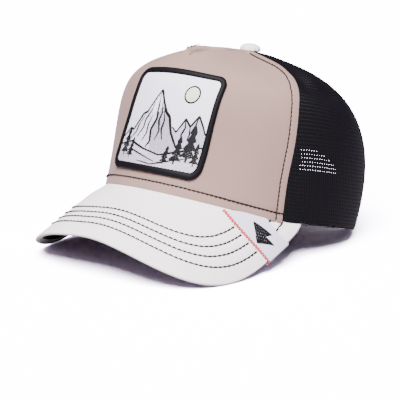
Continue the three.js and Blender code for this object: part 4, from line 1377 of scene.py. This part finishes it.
def landscape():
    # a plain mountain view: a snowy peak, a ridge behind it, low hills and pines
    sky = cap["gap"] + patch["fieldThick"]
    ridge = [(3, 12), (9, 33), (14, 30), (19, 40), (24, 35), (29, 43), (34, 36), (37, 30), (37, 12)]
    lit = [(-37, 12), (-37, 22), (-31, 29), (-27, 28), (-21, 40), (-17, 42), (-9, 58), (-6, 38),
           (-9, 28), (-3, 12)]
    shaded = [(-9, 58), (-4, 50), (1, 43), (5, 40), (10, 29), (17, 20), (20, 12), (-3, 12),
              (-9, 28), (-6, 38)]
    snow = [(-9, 58.5), (-4, 50), (-1, 46), (-4.5, 47), (-6, 42), (-8.5, 46), (-11, 40),
            (-13, 45), (-17, 42), (-13, 50)]
    hill = [(-37, 4.5), (-37, 17), (-24, 20), (-10, 16), (6, 13), (20, 17), (37, 22), (37, 4.5)]
    sun = [(18 + 6 * math.cos(t), 58 + 6 * math.sin(t))
           for t in np.linspace(0, 2 * math.pi, 40)[:-1]]
    areas = [  # outline, stitch direction in degrees, stitch length, colour, height over the ground
        (ridge, 78, 4.2, "#b9b0c6", 0), (lit, 62, 4.2, "#dcd6e6", 0.05),
        (shaded, 118, 4.2, "#a39bab", 0.05), (snow, 85, 4.2, "#f5f3fa", 0.16),
        (hill, 12, 4.2, "#cbbfd0", 0.12), (sun, 20, 6.0, "#ece4d6", 0.05)]
    groups = [{"stitches": fillStitches(outline, degrees, 0.6, length), "colour": colour,
               "height": sky + height, "thread": 0.62}
              for outline, degrees, length, colour, height in areas]
    strokes = [  # a line and the widths along it
        ([(-37, 22.5), (-31, 29.5), (-27, 28.5), (-21, 40.5), (-17, 42.5), (-9, 58.6), (-4, 50.4),
          (1, 43.4), (5, 40.4), (10, 29.4), (17, 20.4)], [0.9, 1.3, 1.2, 1.5, 1.0]),
        ([(10, 33.5), (14, 30.4), (19, 40.4), (24, 35.4), (29, 43.4), (34, 36.4), (37, 31)],
         [0.7, 1.1, 0.8]),
        ([(-9, 57), (-7.4, 47), (-6, 38), (-8.4, 30), (-6, 22), (-8, 17)], [0.5, 1.3, 1.5, 0.9]),
        ([(-5, 50), (-2.6, 43), (-3.6, 37), (-0.6, 30), (-2, 23)], [0.5, 1.2, 0.6]),
        ([(-1, 44), (1.4, 37), (1, 31), (4.2, 24)], [0.4, 1.2, 0.5]),
        ([(-12, 50), (-13.4, 43), (-16.6, 37), (-16.4, 31), (-20, 24)], [0.4, 1.2, 0.7]),
        ([(-11, 40), (-12.4, 33), (-11.4, 27), (-14, 21)], [0.5, 1.1, 0.5]),
        ([(-19, 39), (-22.4, 32), (-23, 27), (-27, 22)], [0.4, 1.1, 0.5]),
        ([(-28, 27), (-30.6, 23), (-34, 20.5)], [0.4, 1.0, 0.5]),
        ([(19, 39.6), (20.4, 34), (18.6, 29), (20.4, 24)], [0.4, 1.1, 0.5]),
        ([(29, 42.6), (28, 37), (30.4, 32), (29.4, 27)], [0.4, 1.1, 0.5]),
        ([(24, 35), (25, 30), (24, 26)], [0.4, 0.9, 0.4]),
        ([(-37, 17), (-24, 20), (-10, 16), (6, 13), (20, 17), (37, 22)], [0.8, 1.2, 0.8, 1.2, 0.8]),
        ([(-33, 12), (-20, 14), (-6, 10.5), (4, 8)], [0.4, 0.9, 0.4]),
        ([(-12, 7), (2, 5.8), (16, 10), (30, 14)], [0.4, 0.9, 0.4]),
        (sun + [sun[0]], [0.8, 0.8]),
    ]
    groups += [{"stitches": lineStitches(path, [1.5 * width for width in widths]),
                "colour": "#080709", "height": sky + 0.26, "thread": 0.5}
               for path, widths in strokes]
    pines = ((28, 11, 26, 13), (19.5, 8.5, 20, 10.5), (34, 9, 16, 7.5), (-30, 9, 21, 11),
             (-22.5, 8, 15, 8.5), (11.5, 7.5, 13, 7.5))
    groups += [{"stitches": fillStitches(pine(*sizes), 8, 0.55, 5.0), "colour": "#0a090c",
                "height": sky + 0.32, "thread": 0.58} for sizes in pines]
    return groups


picture = sewPicture("patchPicture", landscape(), patchPoint, {"around": 4})
finishPiece(picture, pictureThread, "patch_thread")


cornerMark = {"middle": (78.6, -64.0), "turned": -38, "squeeze": 0.86, "height": 0.05,
              "outline": [(-5, -6.8), (-1.4, 7), (0.6, 1.6), (2.4, 7.8), (5.6, -6.8)]}


def markPoint(across, up, height):
    # flat millimetres on the strip: up runs towards the crown
    a = math.radians(cornerMark["turned"])
    x = cornerMark["middle"][0] + across * math.cos(a) - up * math.sin(a) * cornerMark["squeeze"]
    y = cornerMark["middle"][1] + across * math.sin(a) + up * math.cos(a)
    return peakLayer(x, y, -(strip["thick"] + cornerMark["height"]) - height)


mark = sewPicture("cornerMark", [
    {"stitches": fillStitches(cornerMark["outline"], 4, 0.46, 4.0), "colour": "#0a090b",
     "height": cornerMark["height"], "thread": 0.56}], markPoint, {"around": 5})
finishPiece(mark, pictureThread, "black_thread")
print("patch ready")


# ---- button ----

button = {"radius": 7.6, "height": 5.2, "brim": 0.4, "below": 1.9, "tilt": 8, "pleats": 14,
          "sideways": -0.7, "forwards": 0.6}


def coverButton():
    bpy.ops.object.select_all(action="DESELECT")
    bpy.ops.mesh.primitive_uv_sphere_add(segments=72, ring_count=30, radius=1)
    piece = bpy.context.object
    piece.name = piece.data.name = "topButton"
    ball = getPoints(piece)
    wide, angle = np.hypot(ball[:, 0], ball[:, 1]), np.arctan2(ball[:, 1], ball[:, 0])
    pleat = 0.0325 * np.cos(button["pleats"] * angle + 1.3) * wide**6
    out = button["radius"] * wide**0.9 * (1 + pleat)
    dome = (button["height"] - button["brim"]) * np.maximum(ball[:, 2], 0) ** 0.85
    z = button["brim"] + np.where(ball[:, 2] > 0, dome, ball[:, 2] * button["below"])
    a = -math.radians(button["tilt"])
    x, y = out * np.cos(angle), out * np.sin(angle)
    setPoints(piece, np.stack([
        x + button["sideways"],
        y * math.cos(a) - z * math.sin(a) + cap["apexBack"] - button["forwards"],
        y * math.sin(a) + z * math.cos(a) + cap["apexHeight"] + cap["gap"]], -1))
    smooth(piece, 60)
    return finishPiece(piece, buttonCloth, "white_cotton", "top_button")


coverButton()


# ---- sweatband, tape and strap ----

band = {"depth": 4.4, "thick": 1.3, "height": 38, "archGap": 2, "stitchDrop": 2.2,
        "lowStitch": 3.0, "rolled": 0.5, "rolledHeight": 1.6, "wave": 0.18}


bandLevels = np.linspace(0, band["height"], 39)  # it ends beside the rear arch at each height
bandRadius = cap["archRadius"] + band["archGap"]
bandAngles = np.arcsin((bandLevels - cap["archCentreHeight"]) / bandRadius)
bandEnds = archPlace(bandAngles, bandRadius)[0]


def bandPlace(across, up):
    height = up * band["height"]
    turn = (2 * across - 1) * np.interp(height, bandLevels, bandEnds)
    rolled = band["rolled"] * np.exp(-(((height - band["height"]) / band["rolledHeight"]) ** 2))
    wave = band["wave"] * np.sin(turn * 23) * np.sin(up * 2.4)
    return crownLayer(turn, riseAtLength(turn, 0.0, height), band["depth"] - rolled - wave)


clothPiece("headBand", (260, 16), bandPlace, (560, band["height"]), (band["thick"], 0.45, 2),
           bandCloth, "black_band", "sweatband")

tape = {"outer": 10, "inner": 8, "nose": 4.2, "innerDepth": 1.8, "thick": 0.8, "overEdge": 0.35,
        "stitchOut": 8.6, "stitchIn": 1.6}


def tapePlace(across, up):
    # outer leaf, rounded nose, inner leaf
    length = up * (tape["outer"] + tape["nose"] + tape["inner"])
    past = np.clip((length - tape["outer"]) / tape["nose"], 0, 1)
    low, high = -cap["gap"] - tape["thick"], tape["innerDepth"] + tape["thick"]
    out = np.where(length < tape["outer"], tape["outer"] - length,
                   np.maximum(length - tape["outer"] - tape["nose"], 0))
    out = out - tape["overEdge"] * np.sin(past * math.pi)
    depth = low + (high - low) * (1 - np.cos(past * math.pi)) / 2
    radius = cap["archRadius"] + tape["overEdge"] + out
    foot = -np.arcsin(cap["archCentreHeight"] / radius)
    turn, rise = archPlace(foot + across * (math.pi - 2 * foot), radius)
    return crownLayer(turn, rise, depth)


clothPiece("openingTape", (110, 44), lambda across, up: tapePlace(1 - across, up), (150, 22),
           (tape["thick"] * 0.8, 0.2, 1), bandCloth, "black_band", "opening_binding")


def tapeRuns():
    lines = []
    for out in (tape["stitchOut"], tape["stitchIn"]):
        radius = cap["archRadius"] + out
        turn, rise = archPlace(archAngle(np.linspace(0.03, 0.97, 200), radius), radius)
        lines.append(crownRun(turn, rise, -cap["gap"] - tape["thick"]))
    return lines


def bandRuns():
    lines = []
    for height in (band["height"] - band["stitchDrop"], band["lowStitch"]):
        turn = np.linspace(-0.985, 0.985, 700) * float(np.interp(height, bandLevels, bandEnds))
        rise = riseAtLength(turn, 0.0, height)
        points = crownLayer(turn, rise, band["depth"] + band["thick"])
        lines.append((points, -normalOf(crownPoint, turn, rise)))
    return lines


def backRuns():
    lines = []
    for away in (-1.6, 1.6):
        for centre, low, count in ((backSeam, 0.01, 220), (-backSeam, 0.01, 220),
                                   (math.pi, float(archRises[-1]) + 0.09, 160)):
            rise = np.linspace(low, 0.93, count)
            turn = centre + away / np.maximum(meridian(centre + 0 * rise, rise)[0], 5)
            lines.append(crownRun(turn, rise, 0.1))
    return lines


for name, runs, pitch, length, width in (("tapeStitches", tapeRuns(), 3.2, 2.7, 0.55),
                                         ("bandStitches", bandRuns(), 3.4, 2.8, 0.55),
                                         ("netSeamStitches", backRuns(), 3.2, 2.7, 0.5)):
    stitchRun(name, runs, {"pitch": pitch, "length": length, "width": width, "lift": 0.0,
              "wobble": 0.04}, peakThread, "black_thread")

strap = {"depth": 2.9, "thick": 1.2, "height": 19, "halfTurn": 46, "radius": 88.0,
         "rib": 0.18, "ribPlaces": [0.09, 0.91],
         "pegs": 7, "pegPitch": 9.5, "pegRadius": 2.1, "pegFlatness": 0.62, "pegLift": 0.3}


def pastBack(turn):  # a turn past the centre back goes on from the other side
    return np.where(turn > math.pi, turn - 2 * math.pi, turn)


def strapPlace(across, up):
    turn = pastBack(math.pi + (2 * across - 1) * math.radians(strap["halfTurn"]))
    rib = sum(strap["rib"] * np.exp(-(((up - place) / 0.04) ** 2)) for place in strap["ribPlaces"])
    return crownLayer(turn, riseAtLength(turn, 0.0, up * strap["height"]), strap["depth"] - rib)


clothPiece("snapStrap", (140, 24), strapPlace, (130, strap["height"]), (strap["thick"], 0.35, 2),
           strapPlastic, "black_plastic", "snap_strap")


def strapPegs():
    pieces = []
    spots = (np.arange(strap["pegs"]) - (strap["pegs"] - 1) / 2) * strap["pegPitch"]
    turn = pastBack(math.pi + spots / strap["radius"])
    rise = riseAtLength(turn, 0.0, strap["height"] / 2)
    middles, ups = crownLayer(turn, rise, strap["depth"]), normalOf(crownPoint, turn, rise)
    for middle, up in zip(middles, ups):
        bpy.ops.object.select_all(action="DESELECT")
        bpy.ops.mesh.primitive_uv_sphere_add(segments=20, ring_count=10,
                                             radius=strap["pegRadius"] * mm)
        peg = bpy.context.object
        ball = getPoints(peg) / mm * [1, 1, strap["pegFlatness"]]
        basis = np.array(Vector(up).to_track_quat("Z", "Y").to_matrix())
        setPoints(peg, ball @ basis.T + middle + up * strap["pegLift"])
        pieces.append(peg)
    bpy.ops.object.select_all(action="DESELECT")
    for peg in pieces:
        peg.select_set(True)
    bpy.context.view_layer.objects.active = pieces[0]
    bpy.ops.object.join()
    joined = bpy.context.object
    joined.name = joined.data.name = "strapPegs"
    smooth(joined, 60)
    return finishPiece(joined, strapPlastic, "black_plastic")


strapPegs()
print("back of the hat ready")

low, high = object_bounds()
